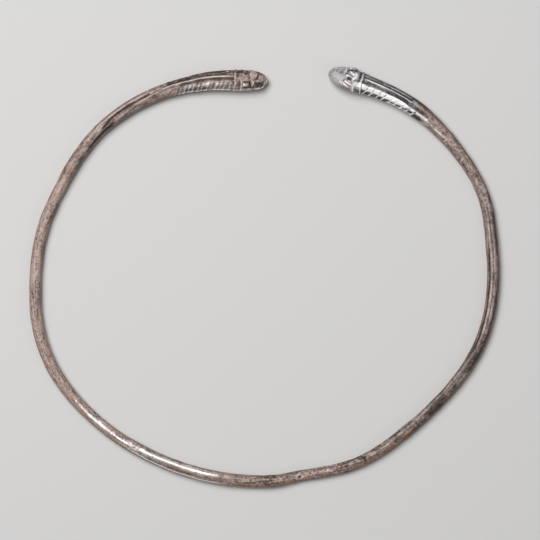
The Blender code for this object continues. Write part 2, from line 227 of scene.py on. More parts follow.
RIGHT_CARVING = (
    Mark("eyeball", RIGHT_EYE, 0.72, 0.55, both_sides=True),
    Mark("eye groove", ((6.6, 45), (7.7, 54), (9.1, 60), (10.0, 62)), 0.32, -0.45, both_sides=True),
    Mark("cheek", ((7.0, 60), (8.0, 66), (9.3, 71)), 0.42, 0.34, both_sides=True),
    Mark("jaw hollow", ((7.9, 84), (10.2, 85)), 0.70, -0.18, both_sides=True),
    Mark(
        "snout cap rim",
        ((5.7, -84), (6.4, -40), (6.6, -24), (6.4, -4), (6.1, 9), (6.5, 24)),
        0.42,
        0.24,
    ),
    Mark("crown bar", ((6.6, -88), (7.2, -60), (8.1, -38)), 0.40, 0.26),
    Mark("step behind the cap", ((7.5, -17), (9.0, -31), (10.8, -36)), 0.65, -0.30),
    Mark("crown pit", CROWN_PIT, 0.45, -0.36),
    Mark("crown bar across", ((7.7, -14), (8.9, -9), (9.9, 0)), 0.46, 0.38),
    Mark("small crown knob", SMALL_KNOB, 0.40, 0.24),
    Mark("middle groove", ((8.7, 5), (10.2, 8)), 0.45, -0.22),
    Mark("rear knob", ((10.9, -15), (10.4, -6)), 0.46, 0.30),
    Mark("rear bar", ((11.1, -8), (11.3, 8), (10.4, 16)), 0.40, 0.28),
    Mark("crown hollow", CROWN_HOLLOW, 0.80, -0.30),
    Mark("lid pit", ((6.8, 35),), 0.38, -0.30),
    Mark("punched ring", PUNCHED_DOT, 0.26, 0.24, ring=0.52),
    Mark("punched dot", PUNCHED_DOT, 0.26, -0.22),
    Mark("lid knob", ((10.0, 29), (10.3, 34)), 0.34, 0.20),
    Mark("jaw bar", ((10.5, 54), (11.0, 71), (11.3, 90)), 0.50, 0.32, both_sides=True),
    Mark("jaw groove", ((11.9, 50), (12.4, 75), (12.8, 96)), 0.55, -0.18, both_sides=True),
    Mark("mouth", ((2.4, 84), (5.0, 82), (7.6, 86)), 0.34, -0.20, both_sides=True),
    Mark("scratched line", ((15.0, -14), (26.0, -15), (36.0, -17)), 0.28, -0.06),
    Mark("outer scratched line", ((16.0, -27), (30.0, -29), (42.0, -30)), 0.28, -0.05),
)

RIGHT_ROD_LINES = (
    Mark(
        "main ridge",
        ((84, 12), (96, 15), (112, 16), (124, 16), (134, 13), (146, 10)),
        0.90,
        0.07,
    ),
    Mark("outer ridge", ((82, -18), (100, -20), (118, -20), (132, -16)), 0.80, 0.06),
    Mark("middle groove", ((84, -5), (100, -3), (118, -1), (136, -4)), 0.60, -0.10),
    Mark("inner groove", ((104, 38), (118, 42), (128, 41), (146, 36)), 0.50, -0.20),
    Mark(
        "lower ridge",
        ((146, 16), (152, 28), (158, 40), (170, 38), (182, 31), (192, 22)),
        0.70,
        0.10,
    ),
    Mark("crown of the bottom", ((226, 18), (244, 20), (262, 24)), 1.10, 0.10),
    Mark("outer flat", ((92, -44), (120, -42), (150, -46)), 1.10, -0.12),
    Mark("pit", PIT, 0.62, -0.46),
    Mark("pit rim", PIT, 0.40, 0.24, ring=0.90),
    Mark("pitting", ((225.0, 22),), 0.55, -0.20),
    Mark("pitting", ((226.6, -4),), 0.45, -0.20),
    Mark("pitting", ((229.2, -20),), 0.60, -0.24),
    Mark("pitting", ((231.5, 16),), 0.50, -0.22),
    Mark("pitting", ((238.4, 12),), 0.50, -0.18),
)

LEFT_ROD_LINES = (
    Mark(
        "neck ridge",
        ((38, 2), (42, 5), (46, 8), (49, 11), (52, 9), (55, 12), (58, 21), (63, 27)),
        0.45,
        0.24,
    ),
    Mark(
        "outer neck ridge",
        ((42, -8), (46, -14), (52, -27), (58, -38), (66, -32), (76, -20)),
        0.50,
        0.18,
    ),
    Mark(
        "groove between the ridges",
        ((48, -12), (52, -10), (58, -15), (65, -14), (71, 14)),
        0.55,
        -0.20,
    ),
    Mark("inner neck groove", INNER_NECK_GROOVE, 0.60, -0.20),
    Mark("worn crown", ((262, 24), (250, 28), (240, 27), (232, 22), (225, 15)), 1.20, 0.19),
    Mark("worn crown", ((223, 10), (216, 3), (205, 2), (195, 3), (186, -4)), 1.20, 0.08),
    Mark("scratch", ((170.0, -16), (173.5, -9), (176.5, -6)), 0.30, -0.18),
    Mark("scratch", ((171.5, 2), (174.0, 6), (177.5, 7)), 0.30, -0.18),
    Mark("outer groove", ((228, -32), (240, -32), (262, -36)), 0.42, -0.16),
    Mark("outer ridge", ((214, -44), (228, -48), (240, -52), (262, -56)), 0.50, 0.14),
)

# Patches of finish, painted highlights, painted shade and a painted warm reflection, by the skin's
# attribute that they go to
RIGHT_PATCHES = {
    "bright": (
        Mark("ridge", ((15.5, 2), (25.0, 4), (34.0, 8)), 0.22, 0.8),
        Mark("flank", ((11.4, 43), (15.0, 47), (22.0, 50), (33.0, 52)), 1.45, 0.90, flat=0.45),
        Mark(
            "end of the flank",
            ((33.0, 52), (36.0, 49), (39.5, 41), (43.0, 33)),
            0.85,
            0.80,
            flat=0.3,
        ),
        Mark("tail of the flank", ((42.0, 33), (48.0, 26), (56.0, 21)), 0.5, 0.5),
        Mark("crown", ((8.0, 10), (10.2, 4)), 2.6, 0.26, flat=0.3),
        Mark("face", ((8.6, 52), (13.4, 48)), 1.9, 0.50, flat=0.3),
    ),
    # Besides real scratches and nicks, these paint highlights and glints in the scratched silver's
    # colour: along the flank and the keel's ridge, on the head's rims, bars, knobs and eye, on the
    # lower edge and round the pit
    "scored_and_highlight": (
        Mark("cap rim", ((5.9, -80), (6.5, -26), (6.4, -4), (6.2, 8)), 0.36, 0.6),
        Mark("crown bar", ((6.8, -80), (7.2, -60), (8.0, -40)), 0.40, 0.6),
        # A painted highlight: the flank's bright band is painted pale so that it stays bright
        # whatever the light
        Mark("flank", ((11.6, 45), (15.0, 47), (22.0, 50), (33.0, 52)), 1.15, 0.80, flat=0.55),
        Mark(
            "end of the flank",
            ((33.0, 51), (36.0, 48), (39.5, 40), (43.0, 32)),
            0.62,
            0.8,
            flat=0.3,
        ),
        Mark("tail of the flank", ((42.0, 32), (48.0, 26), (54.0, 22)), 0.34, 0.45),
        Mark("ridge", ((15.2, 2), (25.0, 4), (34.0, 8)), 0.22, 2.2),
        Mark("outer glint", ((25.5, -18), (30.0, -20), (34.0, -20)), 0.45, 0.36),
        Mark("lower edge", ((27.0, 90), (33.0, 90), (38.0, 82)), 0.36, 0.9),
        Mark("cheek of the snout", ((5.1, 56), (5.9, 58)), 0.55, 0.7),
        Mark("upper cheek", ((7.0, 60), (9.3, 71)), 0.40, 0.8),
        Mark("eye", RIGHT_EYE, 0.55, 0.9),
        Mark("crown bar across", ((7.9, -13), (8.9, -9), (9.9, 0)), 0.42, 0.9),
        Mark("rear of the crown", ((10.7, -16), (10.4, -6), (9.9, 2)), 0.46, 1.2),
        Mark("rear of the crown", ((11.1, -8), (11.3, 6), (10.7, 15), (10.2, 20)), 0.55, 1.5),
        Mark("lid", ((10.0, 18), (10.1, 26), (10.2, 33)), 0.45, 0.8),
        Mark("small knob", SMALL_KNOB, 0.36, 0.8),
        Mark("foot of the jaw bar", ((10.5, 50), (10.9, 66), (11.1, 88)), 0.50, 1.2),
        Mark("snout", ((2.6, -28),), 0.40, 0.7),
        Mark("low line", ((11.9, 99), (13.4, 97)), 0.40, 0.5),
        Mark("pit rim", PIT, 0.26, 0.35, ring=0.90),
        Mark("lump of the bottom", ((223.9, 16), (224.4, 6)), 0.45, 0.5),
    ),
    "ashen": (
        Mark("snout", ((2.0, 0), (5.5, 0)), 5.5, 1.0, flat=0.7),
        Mark("head and neck", ((8, 0), (20, 0), (31, 0)), 8.0, 1.0, flat=0.6),
        Mark("low flank", ((30, 60), (44, 56)), 2.4, 0.8, flat=0.3),
        Mark("outer half", ((78, -28), (120, -28), (160, -24)), 1.5, 0.55),
        Mark("inner half", ((160, 10), (190, 30), (216, 40)), 1.9, 0.30),
    ),
    "pale": (
        Mark("inner half", ((72, 20), (100, 22), (126, 22), (142, 14)), 1.5, 0.34),
        Mark("lower line", ((148, 22), (158, 40), (172, 38), (182, 30)), 0.7, 0.42),
        Mark("pitted patch", ((223, 4), (229, 8), (238, 10)), 1.7, 0.50),
        Mark("pit rim", PIT, 0.40, 1.0, ring=0.90),
        Mark("lumps of the bottom", ((223.8, 20), (224.6, 2)), 0.50, 0.9),
        Mark("lumps of the bottom", ((200.4, -12), (202.6, -6)), 0.50, 0.9),
        Mark("lumps of the bottom", ((229.6, -14), (231.0, 6)), 0.45, 0.8),
        Mark("snout", ((1.0, 0), (3.4, 0)), 4.6, 0.45, flat=0.7),
        Mark("lower snout", ((3.0, 60), (6.0, 62)), 2.4, 0.5, flat=0.3),
        Mark("end of the neck", ((40, -14), (58, -8)), 2.6, 0.45, flat=0.3),
    ),
    "dark": (
        Mark("crown hollow", CROWN_HOLLOW, 1.0, 0.7),
        Mark("crown pit", CROWN_PIT, 0.7, 0.7),
        Mark("upper crown", ((7.5, -18), (9.0, -32), (10.8, -36)), 1.3, 0.6),
        Mark("rear crown", ((12.3, 24), (12.5, 0), (12.4, -40)), 0.9, 0.75, flat=0.3),
        Mark("throat", ((11.9, 78), (14.2, 72)), 0.8, 0.8),
        # Painted shade: the low flank, turned away from the light, is painted dark
        Mark("low flank", ((14.4, 78), (26.0, 79), (36.0, 76), (41.0, 66)), 1.45, 0.95, flat=0.55),
        Mark("below the ridge", ((14.2, 18), (30.0, 22), (42.0, 20)), 1.3, 0.85, flat=0.4),
        Mark("outside the ridge", ((14.2, -9), (34.0, -4)), 0.8, 0.9, flat=0.3),
        # Painted shade: the outer edges of the neck and rod are painted dark where they turn away
        # from the light
        Mark("outer edge of the neck", ((14.0, -56), (40.0, -54)), 2.8, 0.85, flat=0.4),
        Mark("neck's outer edge", ((40, -60), (90, -62)), 2.0, 0.4),
        Mark("outer edge", ((90, -64), (200, -64)), 2.0, 0.45),
        Mark("upper stretch", ((80, 0), (130, 0)), 5.0, 0.10, flat=0.7),
        Mark("dark stretch", ((140, -30), (192, -30)), 3.4, 0.36, flat=0.5),
        Mark("inner groove", ((106, 40), (128, 42), (146, 34)), 0.8, 0.8),
        Mark("outside the lower line", ((146, -8), (158, 4), (178, 2)), 1.3, 0.5),
        Mark("dark patch", ((150, -20), (160, -26), (177, -30)), 1.5, 0.6, flat=0.3),
        Mark("brown patch", ((206, -20), (209, 30)), 1.5, 0.7),
        Mark("bottom", ((190, 10), (219, 8)), 3.0, 0.14, flat=0.3),
        Mark("bottom", ((242, 10), (262, 14)), 3.0, 0.42, flat=0.3),
        # Painted shade along the rod's inner edge
        Mark("inner edge", ((130, 62), (250, 62)), 2.0, 0.36),
        Mark("pit", PIT, 0.60, 0.6),
    ),
    "rust": (
        Mark("brow of the neck", ((14.6, 26), (17.0, 28)), 0.45, 0.25),
        Mark("jaw", ((7.7, 84), (10.4, 85)), 0.8, 0.2),
        # A painted warm reflection along the outer edge, in the rust's colour
        Mark("outer edge", ((62, -64), (200, -62)), 0.70, 0.80),
        Mark("outer side of the bottom", ((186, -44), (224, -40), (262, -46)), 1.7, 0.32),
        Mark("brown spot", ((201.5, -18),), 1.0, 1.0),
    ),
    "crust": (
        Mark("pitted patch", ((212, 0), (240, 0)), 3.6, 1.0, flat=0.5),
        Mark("bottom", ((180, 0), (262, 0)), 3.6, 0.75, flat=0.5),
        Mark("neck", ((48, 0), (84, 0)), 3.6, 0.75, flat=0.5),
        Mark("snout", ((1.0, 0), (5.0, 0)), 5.0, 0.30, flat=0.6),
    ),
}

LEFT_PATCHES = {
    "bright": (
        Mark(
            "worn crown of the rod",
            ((224, 16), (232, 25), (242, 32), (252, 32)),
            1.35,
            0.68,
            flat=0.2,
        ),
        Mark("scratched stretch", ((200, 4), (210, 5), (226, 13)), 1.5, 0.50, flat=0.2),
        Mark("end of the scratched stretch", ((191, 5), (202, 4)), 1.0, 0.42),
        Mark("worn middle", ((250, 24), (260, 20)), 0.9, 0.20, flat=0.3),
        Mark("outer glints", ((219, -45), (234, -50), (244, -54), (258, -56)), 0.6, 0.6),
        Mark("flank", ((14.6, 40), (30, 41)), 1.2, 0.24),
    ),
    # Besides real scratches and nicks, these paint highlights and glints in the scratched silver's
    # colour: on the eye, collar, keel, jaw bar, cheek, boss rim, snout, lip and lower edges, and on
    # the worn crown
    "scored_and_highlight": (
        Mark("eye", ((9.7, 42), (9.3, 48), (9.9, 56)), 0.50, 0.9),
        Mark("inner corner of the eye", ((8.7, 44), (8.4, 54)), 0.34, 0.4),
        Mark("collar", ((12.8, 44),), 0.50, 0.9),
        Mark("nick", ((15.7, -35), (16.5, -37)), 0.28, 1.0),
        Mark("keel", ((17.5, 0), (34.0, 0), (42.0, 3)), 0.26, 0.46),
        Mark(
            "outer glints",
            ((219, -45), (226, -46), (234, -49), (243, -53), (256, -55)),
            0.42,
            0.8,
        ),
        # Painted highlight on real wear: a pale line where the polished crown catches the light
        Mark("worn crown", ((222, 10), (232, 21), (242, 27), (256, 26)), 1.15, 0.34, flat=0.2),
        Mark("core of the worn crown", ((224, 13), (234, 19), (244, 22)), 0.36, 0.25),
        Mark("worn line", ((193, 4), (208, 2), (216, 3), (223, 9)), 0.70, 0.32),
        Mark("lower edge", ((7.6, 90), (14.0, 90), (28.0, 90), (36.0, 88)), 0.34, 0.85),
        Mark("chin edge", ((6.4, 86), (8.0, 88), (10.6, 90)), 0.40, 0.7),
        Mark("jaw bar", ((10.6, 24), (10.4, 40), (10.5, 62), (10.7, 84)), 0.45, 0.28),
        Mark("foot of the jaw bar", ((10.6, 76), (10.7, 86)), 0.45, 0.6),
        Mark("cheek", ((5.9, 30), (5.8, 44)), 0.36, 0.25),
        Mark("boss rim", ((6.9, -37), (5.7, -43), (4.7, -32), (4.45, -14)), 0.26, 0.36),
        Mark("snout", ((0.5, -60), (0.3, 0), (0.5, 44)), 0.45, 0.65),
        Mark("lip", ((1.8, 84), (3.6, 84), (5.4, 82)), 0.36, 0.8),
        Mark("scratches", ((196, 2), (203, -4)), 0.30, 0.4),
        Mark("scratches", ((206, 8), (216, 3)), 0.30, 0.4),
        Mark("scratches", ((170.0, -12), (176.5, -2)), 0.34, 0.3),
    ),
    "ashen": (
        Mark("nostril", ((1.9, 46), (4.7, 40)), 1.3, 0.9),
        Mark("flank", ((15, 54), (34, 54)), 2.4, 0.4),
        Mark("left side", ((98, 0), (234, 0)), 3.6, 0.18, flat=0.6),
    ),
    "pale": (
        Mark("keel", ((14.5, 0), (36, 0), (46, 8), (52, 10), (58, 21), (64, 26)), 0.55, 0.85),
        Mark("outer ridge", ((42, -9), (52, -27), (60, -38), (68, -30), (78, -20)), 1.0, 0.9),
        Mark("boss", ((5.9, -14),), 1.7, 0.60, flat=0.4),
        Mark("collar", ((12.9, -22), (13.0, 20), (13.3, 80)), 0.70, 0.70),
        Mark("temple", ((10.2, -14), (9.6, -30)), 0.9, 0.35),
        Mark("brow", ((10.6, 17), (9.6, 12), (8.2, 12)), 0.9, 0.75),
        Mark("muzzle", ((3.2, -10), (2.2, 4)), 1.1, 0.4),
        Mark("eyeball", ((8.2, 50),), 1.0, 0.5),
        Mark("cheek", ((6.6, 18), (5.8, 28), (5.8, 48), (6.6, 66)), 0.6, 0.65),
        Mark("jaw bar", ((10.5, 19), (10.4, 45), (10.6, 80)), 0.5, 0.9),
        Mark("snout", ((0.8, -40), (0.9, 0), (0.8, 36)), 1.1, 0.9, flat=0.3),
        Mark("left side", ((98, 8), (195, 8)), 4.0, 0.28, flat=0.6),
        # Painted sheen round the worn crown's highlight
        Mark("round the worn crown", ((186, 3), (215, 5), (232, 18), (256, 24)), 2.0, 0.34),
        # Painted light: the rod's outer side is painted paler, as if evenly lit
        Mark("outer side", ((106, -42), (262, -42)), 1.8, 0.48, flat=0.3),
    ),
    "dark": (
        # Painted shade: the neck's outer flank, turned away from the light, is painted dark
        Mark("outer flank of the neck", ((14, -54), (38.5, -52)), 2.8, 1.0, flat=0.45),
        Mark("beside the keel", ((14.5, 14), (36, 14)), 1.2, 0.6, flat=0.3),
        Mark("outside the keel", ((14.5, -14), (36, -14), (46, -3)), 0.9, 0.45),
        Mark("between the ridges", ((48, -12), (52, -9), (58, -15), (65, -14), (70, 8)), 0.9, 0.9),
        Mark("inner shadow", INNER_NECK_GROOVE, 0.9, 0.95),
        Mark("plain neck", ((48, 0), (84, 0)), 4.4, 0.16, flat=0.6),
        # Painted shade: the low flank below the cuts and the rod's inner edge are painted dark
        Mark("low flank", ((14.6, 68), (34, 68)), 0.7, 0.5),
        Mark("inner edge", ((80, 66), (130, 66)), 1.6, 0.18),
        Mark("nostril", ((1.6, 54), (2.8, 50), (4.6, 50)), 0.85, 0.8),
        Mark("boss shadow", ((3.95, -28), (3.95, -8), (4.3, 6)), 0.36, 0.9),
        Mark("far nostril", ((2.6, -56),), 0.9, 0.8),
        # Painted shade: the head's outer side is painted dark where the light falls off
        Mark("outer side of the head", ((4.5, -76), (12.0, -72)), 2.2, 0.85),
        Mark("front of the eye", ((7.0, 28), (6.95, 50), (6.8, 60)), 0.6, 1.0),
        Mark("below the eye", ((9.6, 67), (7.4, 67)), 0.6, 0.4),
        Mark("lid", ((9.4, 34), (7.6, 32)), 0.5, 0.7),
        Mark("behind the jaw bar", ((11.3, 14), (11.4, 80)), 0.5, 0.5),
        # Painted shade on the outer rear of the head
        Mark("rear of the head", ((8.6, -34), (12.2, -32)), 1.9, 0.85, flat=0.3),
        Mark("gap behind the boss", ((8.3, -50), (8.0, -12), (7.4, 10), (7.1, 26)), 0.75, 0.50),
        Mark("muzzle", ((2.9, 22), (3.3, 26)), 0.9, 0.35),
        Mark("behind the temple", ((11.9, -26), (11.9, 6)), 0.55, 0.8),
        # Painted shade on the muzzle's outer side
        Mark("outside the muzzle", ((2.4, -40), (3.2, -44)), 0.8, 0.6),
    ),
    "rust": (
        # A painted warm reflection along the outer edge, in the rust's colour
        Mark("outer edge", ((120, -66), (262, -64)), 0.60, 0.60),
        Mark("inner edge", ((120, 68), (262, 66)), 0.60, 0.40),
        Mark("spot", ((188.5, 2),), 0.7, 1.0),
        Mark("spot", ((196.5, 10),), 0.5, 0.8),
        Mark("snout", ((0.5, -40), (0.4, 20)), 0.8, 0.25),
        Mark("brow", ((9.2, 16), (8.6, 4)), 0.9, 0.3),
        Mark("low flank", ((14, 82), (36, 80)), 0.4, 0.45),
        Mark("spot", ((118.7, 33),), 0.8, 0.8),
        Mark("left side", ((92, 0), (212, 0)), 4.0, 0.15, flat=0.6),
        Mark("scratches", ((170, -4), (177, -4)), 1.0, 0.5),
    ),
    "crust": (
        Mark("neck", ((60, 0), (104, 0)), 3.4, 0.40, flat=0.5),
        Mark("left side", ((104, 0), (224, 0)), 3.6, 0.90, flat=0.5),
        Mark("head", ((1.0, 0), (12.0, 0)), 5.0, 0.80, flat=0.6),
        Mark("outer flank of the neck", ((14, -50), (48, -48)), 2.6, 1.0, flat=0.4),
    ),
}

# The skin's attributes: those that the patches go to, those that the carving gives as well,
# and the place on the straightened rod
FINISHES = ("bright", "scored_and_highlight", "ashen", "pale", "dark", "rust", "crust")
MASKS = FINISHES + ("cut", "worn")
ROD_PLACE = "rod_place"


def length(name, description, default):
    """A size that the sidebar shows."""
    return FloatProperty(
        name=name, description=description, default=default, min=0.0, unit="LENGTH"
    )


def share(name, description, default):
    """A plain factor that the sidebar shows."""
    return FloatProperty(name=name, description=description, default=default, min=0.0)


def degrees(name, description, default):
    """An angle that the sidebar shows."""
    turn = math.radians(default)
    return FloatProperty(name=name, description=description, default=turn, subtype="ANGLE")


def power(name, description, default):
    """A light's power that the sidebar shows."""
    return FloatProperty(name=name, description=description, default=default, unit="POWER")


def colour(name, description, default):
    """A colour that the sidebar shows."""
    return FloatVectorProperty(
        name=name,
        description=description,
        default=default,
        size=3,
        min=0.0,
        max=1.0,
        subtype="COLOR",
    )


class HoopSizes(PropertyGroup):
    """The sizes of the whole hoop."""

    width: length("Width", "Width of the oval that the hoop follows", 0.1875)
    depth: length("Depth", "Depth of the oval that the hoop follows", 0.1672)
    rod: length("Rod", "Thickness of the plain rod", 0.0048)
    gap: length("Gap", "Opening between the snouts", 0.0233)
    gap_bearing: degrees("Gap bearing", "Middle of the opening, clockwise from +Y", 8.25)
    rest_flat: length("Rest flat", "Width of the flat that the hoop lies on", 0.0012)
    press: share("Press", "How much further than its own depth the flat is pressed in", 1.5)


class HeadSizes(PropertyGroup):
    """The sizes that both heads share."""

    length: length("Length", "Length of a head, from the snout to the collar", 0.0135)
    droop: length("Snout droop", "How far the tip of the snout hangs down", 0.0005)
    collar_rise: length("Collar rise", "Height of the line that ends the head", 0.00030)
    collar_width: length("Collar width", "Half the width of that line", 0.0005)
    crown: share("Crown", "Height of the back, as a share of half the width", 0.80)
    belly: share("Belly", "Depth of the belly, as a share of half the width", 0.72)


class NeckSizes(PropertyGroup):
    """The sizes that both necks share."""

    keel_rise: length("Keel rise", "Height of the sharp line along the back", 0.00036)


class RightEndSizes(PropertyGroup):
    """The right head and neck."""

    head_width: length("Head width", "Width of the right head", 0.0098)
    neck_length: length("Neck length", "From the snout to the plain rod", 0.070)
    roll: degrees("Roll", "How far the back leans outward", 32)
    stroke_start: length("Stroke start", "From the collar to the first cut", 0.0030)
    stroke_count: IntProperty(name="Strokes", description="Cuts down the flank", default=9, min=1)
    stroke_pitch: length("Stroke pitch", "From one cut to the next", 0.0027)
    stroke_lean: FloatProperty(name="Stroke lean", description="Slant of the cuts", default=-0.34)
    stroke_depth: length("Stroke depth", "Depth of a cut", 0.00016)
    stroke_width: length("Stroke width", "Half the width of a cut", 0.00056)
    stroke_top: degrees("Stroke top", "Where the cuts start, from the back", 37)
    stroke_turn: degrees("Stroke turn", "Where the cuts turn from dark to bright", 59)
    keel_turn: degrees("Keel turn", "How far the sharp line winds to the inner side", 9)
    keel_end: length("Keel end", "From the snout to the end of the sharp line", 0.0350)
    collar_forward: length("Collar forward", "From the collar back to the head's end", 0.0)
    # The turn above and these shines paint highlights: the cuts below the turn, the low crests and
    # the collar's line are painted bright
    stroke_shine: share("Stroke shine", "How bright the cut metal is", 1.0)
    crest_shine: share("Crest shine", "How bright the crests between the cuts are, low down", 0.0)
    collar_lean: length("Collar lean", "How much further back the collar is low down", 0.0008)
    collar_shine: share("Collar shine", "How bright the collar's line is", 0.5)


class LeftEndSizes(PropertyGroup):
    """The left head and neck."""

    head_width: length("Head width", "Width of the left head", 0.0088)
    neck_length: length("Neck length", "From the snout to the plain rod", 0.080)
    roll: degrees("Roll", "How far the back leans outward", 25)
    stroke_start: length("Stroke start", "From the collar to the first cut", 0.0010)
    stroke_count: IntProperty(name="Strokes", description="Cuts down the flank", default=13, min=1)
    stroke_pitch: length("Stroke pitch", "From one cut to the next", 0.00184)
    stroke_lean: FloatProperty(name="Stroke lean", description="Slant of the cuts", default=0.36)
    stroke_depth: length("Stroke depth", "Depth of a cut", 0.00016)
    stroke_width: length("Stroke width", "Half the width of a cut", 0.00052)
    stroke_top: degrees("Stroke top", "Where the cuts start, from the back", 25)
    stroke_turn: degrees("Stroke turn", "Where the cuts turn from dark to bright", 68)
    keel_turn: degrees("Keel turn", "How far the sharp line winds to the inner side", 2)
    keel_end: length("Keel end", "From the snout to the end of the sharp line", 0.0440)
    collar_forward: length("Collar forward", "From the collar back to the head's end", 0.0005)
    # The turn above and these shines paint highlights: the cuts below the turn, the low crests and
    # the collar's line are painted bright
    stroke_shine: share("Stroke shine", "How bright the cut metal is", 0.0)
    crest_shine: share("Crest shine", "How bright the crests between the cuts are, low down", 0.55)
    collar_lean: length("Collar lean", "How much further back the collar is low down", 0.0005)
    collar_shine: share("Collar shine", "How bright the collar's line is", 0.05)


class HammerSizes(PropertyGroup):
    """The unevenness that the hammer left."""

    facet_depth: length("Facet depth", "Depth of the long flats along the rod", 0.00004)
    facets: IntProperty(name="Facets", description="Flats round the rod", default=5, min=0)
    facet_twists: share("Facet twist", "How far the flats wind round the rod", 1.5)
    dent_depth: length("Dent depth", "Height of the uneven places", 0.00012)
    dent_size: length("Dent size", "Usual length of an uneven place", 0.0042)
    ripple_depth: length("Ripple depth", "Height of the small uneven places", 0.00003)
    ripple_size: length("Ripple size", "Usual length of a small uneven place", 0.0016)
    pock_depth: length("Pock depth", "Height of the crust's pocks", 0.00018)
    pock_size: length("Pock size", "Usual size of a pock", 0.0009)


class SilverLooks(PropertyGroup):
    """The colours and gloss of old silver."""

    bare: colour("Bare silver", "Polished metal", (0.86, 0.85, 0.84))
    # The scratched silver is also the colour of the painted highlights and glints
    scratch: colour("Scratched silver", "Freshly cut metal", (0.93, 0.915, 0.90))
    pale: colour("Pale skin", "The palest matt skin", (0.50, 0.392, 0.355))
    middle: colour("Middle skin", "The usual matt skin", (0.240, 0.177, 0.153))
    # The deep skin and the soot are also the colours of the painted shade along flanks and edges
    deep: colour("Deep skin", "Skin in hollows and dark streaks", (0.045, 0.031, 0.025))
    ash: colour("Ash", "Neutral skin of the right head and neck", (0.42, 0.400, 0.405))
    soot_and_shade: colour("Soot", "Hollows of the right head and neck", (0.040, 0.039, 0.039))
    # The rust is also the colour of a painted warm reflection along the outer edges
    rust: colour("Rust", "Orange-brown traces", (0.36, 0.15, 0.055))
    contrast: share("Contrast", "How strongly the skin is mottled", 1.0)
    matt_gloss: share("Matt roughness", "Roughness of the matt skin", 0.55)
    bright_gloss: share("Bright roughness", "Roughness of the polished metal", 0.31)
    scratch_gloss: share("Scratched roughness", "Roughness of the cut metal", 0.45)
    skin_metal: share("Skin metal", "Metallic share of the matt skin", 0.36)
    ash_metal: share("Ash metal", "Metallic share of the ashen skin", 0.20)
    scratch_metal: share("Scratched metal", "Metallic share of the cut metal", 0.28)
    grain_depth: length("Grain depth", "Depth of the fine grain", 0.00007)


class StageLooks(PropertyGroup):
    """The floor, the lights and the camera."""

    floor: colour("Floor", "Colour of the floor", (0.58, 0.575, 0.57))
    floor_size: length("Floor size", "Width of the floor", 6.0)
    sky: share("Sky", "Brightness of the even light", 0.14)
    key_power: power("Key power", "Power of the soft key light", 20.0)
    key_size: length("Key size", "Width of the soft key light", 0.84)
    key_height: length("Key height", "Height of the soft key light", 1.20)
    fill_power: power("Fill power", "Power of the broad side light", 2.0)
    camera_height: length("Camera height", "From the hoop to the camera", 1.2)
    view_width: length("View width", "What the picture shows from side to side", 0.216)


class TorcSettings(PropertyGroup):
    """All the settings of the torc and its stage."""

    hoop: PointerProperty(type=HoopSizes)
    head: PointerProperty(type=HeadSizes)
    neck: PointerProperty(type=NeckSizes)
    right: PointerProperty(type=RightEndSizes)
    left: PointerProperty(type=LeftEndSizes)
    hammer: PointerProperty(type=HammerSizes)
    silver: PointerProperty(type=SilverLooks)
    stage: PointerProperty(type=StageLooks)


def ease(low, high, value):
    """Rises smoothly from 0 at low to 1 at high."""
    part = np.clip((value - low) / (high - low), 0.0, 1.0)
    return part * part * (3 - 2 * part)


def bump(distance, half_width):
    """A rounded rise of height 1 that reaches its foot at half_width."""
    part = np.clip(np.abs(distance) / half_width, 0.0, 1.0)
    return (1 - part * part) ** 2


def smooth_through(points, column, place):
    """Reads a smooth curve through the points, whose first column is the place along it."""
    table = np.array(points, float)
    along, value = table[:, 0], table[:, column]
    last = len(along) - 2
    at = np.clip(np.searchsorted(along, place, side="right") - 1, 0, last)
    before, after = np.maximum(at - 1, 0), np.minimum(at + 2, last + 1)
    gap = along[at + 1] - along[at]
    slope_here = (value[at + 1] - value[before]) / (along[at + 1] - along[before]) * gap
    slope_there = (value[after] - value[at]) / (along[after] - along[at]) * gap
    t = np.clip((place - along[at]) / gap, 0.0, 1.0)
    return (
        value[at] * (1 + 2 * t) * (1 - t) ** 2
        + slope_here * t * (1 - t) ** 2
        + value[at + 1] * t * t * (3 - 2 * t)
        + slope_there * t * t * (t - 1)
    )


# How many steps the middle line is worked out in
ROUTE_STEPS = 2880


class Route:
    """The rod's middle line by its length, from the right snout clockwise to the left one."""

    def __init__(self, hoop):
        half_gap = hoop.gap / (hoop.width - hoop.rod)
        start = hoop.gap_bearing + half_gap
        stop = 2 * math.pi + hoop.gap_bearing - half_gap
        turns = np.linspace(start, stop, ROUTE_STEPS + 1)
        self.bearings = np.degrees(turns)
        reach = smooth_through(HOOP_COURSE, 1, self.bearings) / 2
        self.x = (hoop.width - hoop.rod) * reach * np.sin(turns)
        self.y = (hoop.depth - hoop.rod) * reach * np.cos(turns)
        pieces = np.hypot(np.diff(self.x), np.diff(self.y))
        self.lengths = np.concatenate([[0.0], np.cumsum(pieces)])
        self.length = self.lengths[-1]
        self.ahead_x = np.gradient(self.x, self.lengths)
        self.ahead_y = np.gradient(self.y, self.lengths)

    def read(self, values, place):
        """One of the lists above, read at a length from the right snout."""
        return np.interp(place, self.lengths, values)


# Shares of a neck's length between which its section turns into the plain rod's, and
# between which it stops leaning
SECTION_FADE = (0.42, 0.85)
LEAN_FADE = (0.45, 0.75)

# Shares of a head's length in front of which the middle line stays level, and in front of
# which the snout droops
LEVEL_SHARE = 0.45
DROOP_SHARE = 0.5

# The rows slant with the cuts. The slant starts between these lengths behind the head and
# fades over this many cuts behind the last one. Across the row it starts and fades between
# these angles, and at the last angle nothing moves.
SLANT_START = (0.0005, 0.0030)
SLANT_FADE = 4
SLANT_TOP = (-10, 20)
SLANT_FOOT = (85, 150)
SLANT_MIDDLE = 60


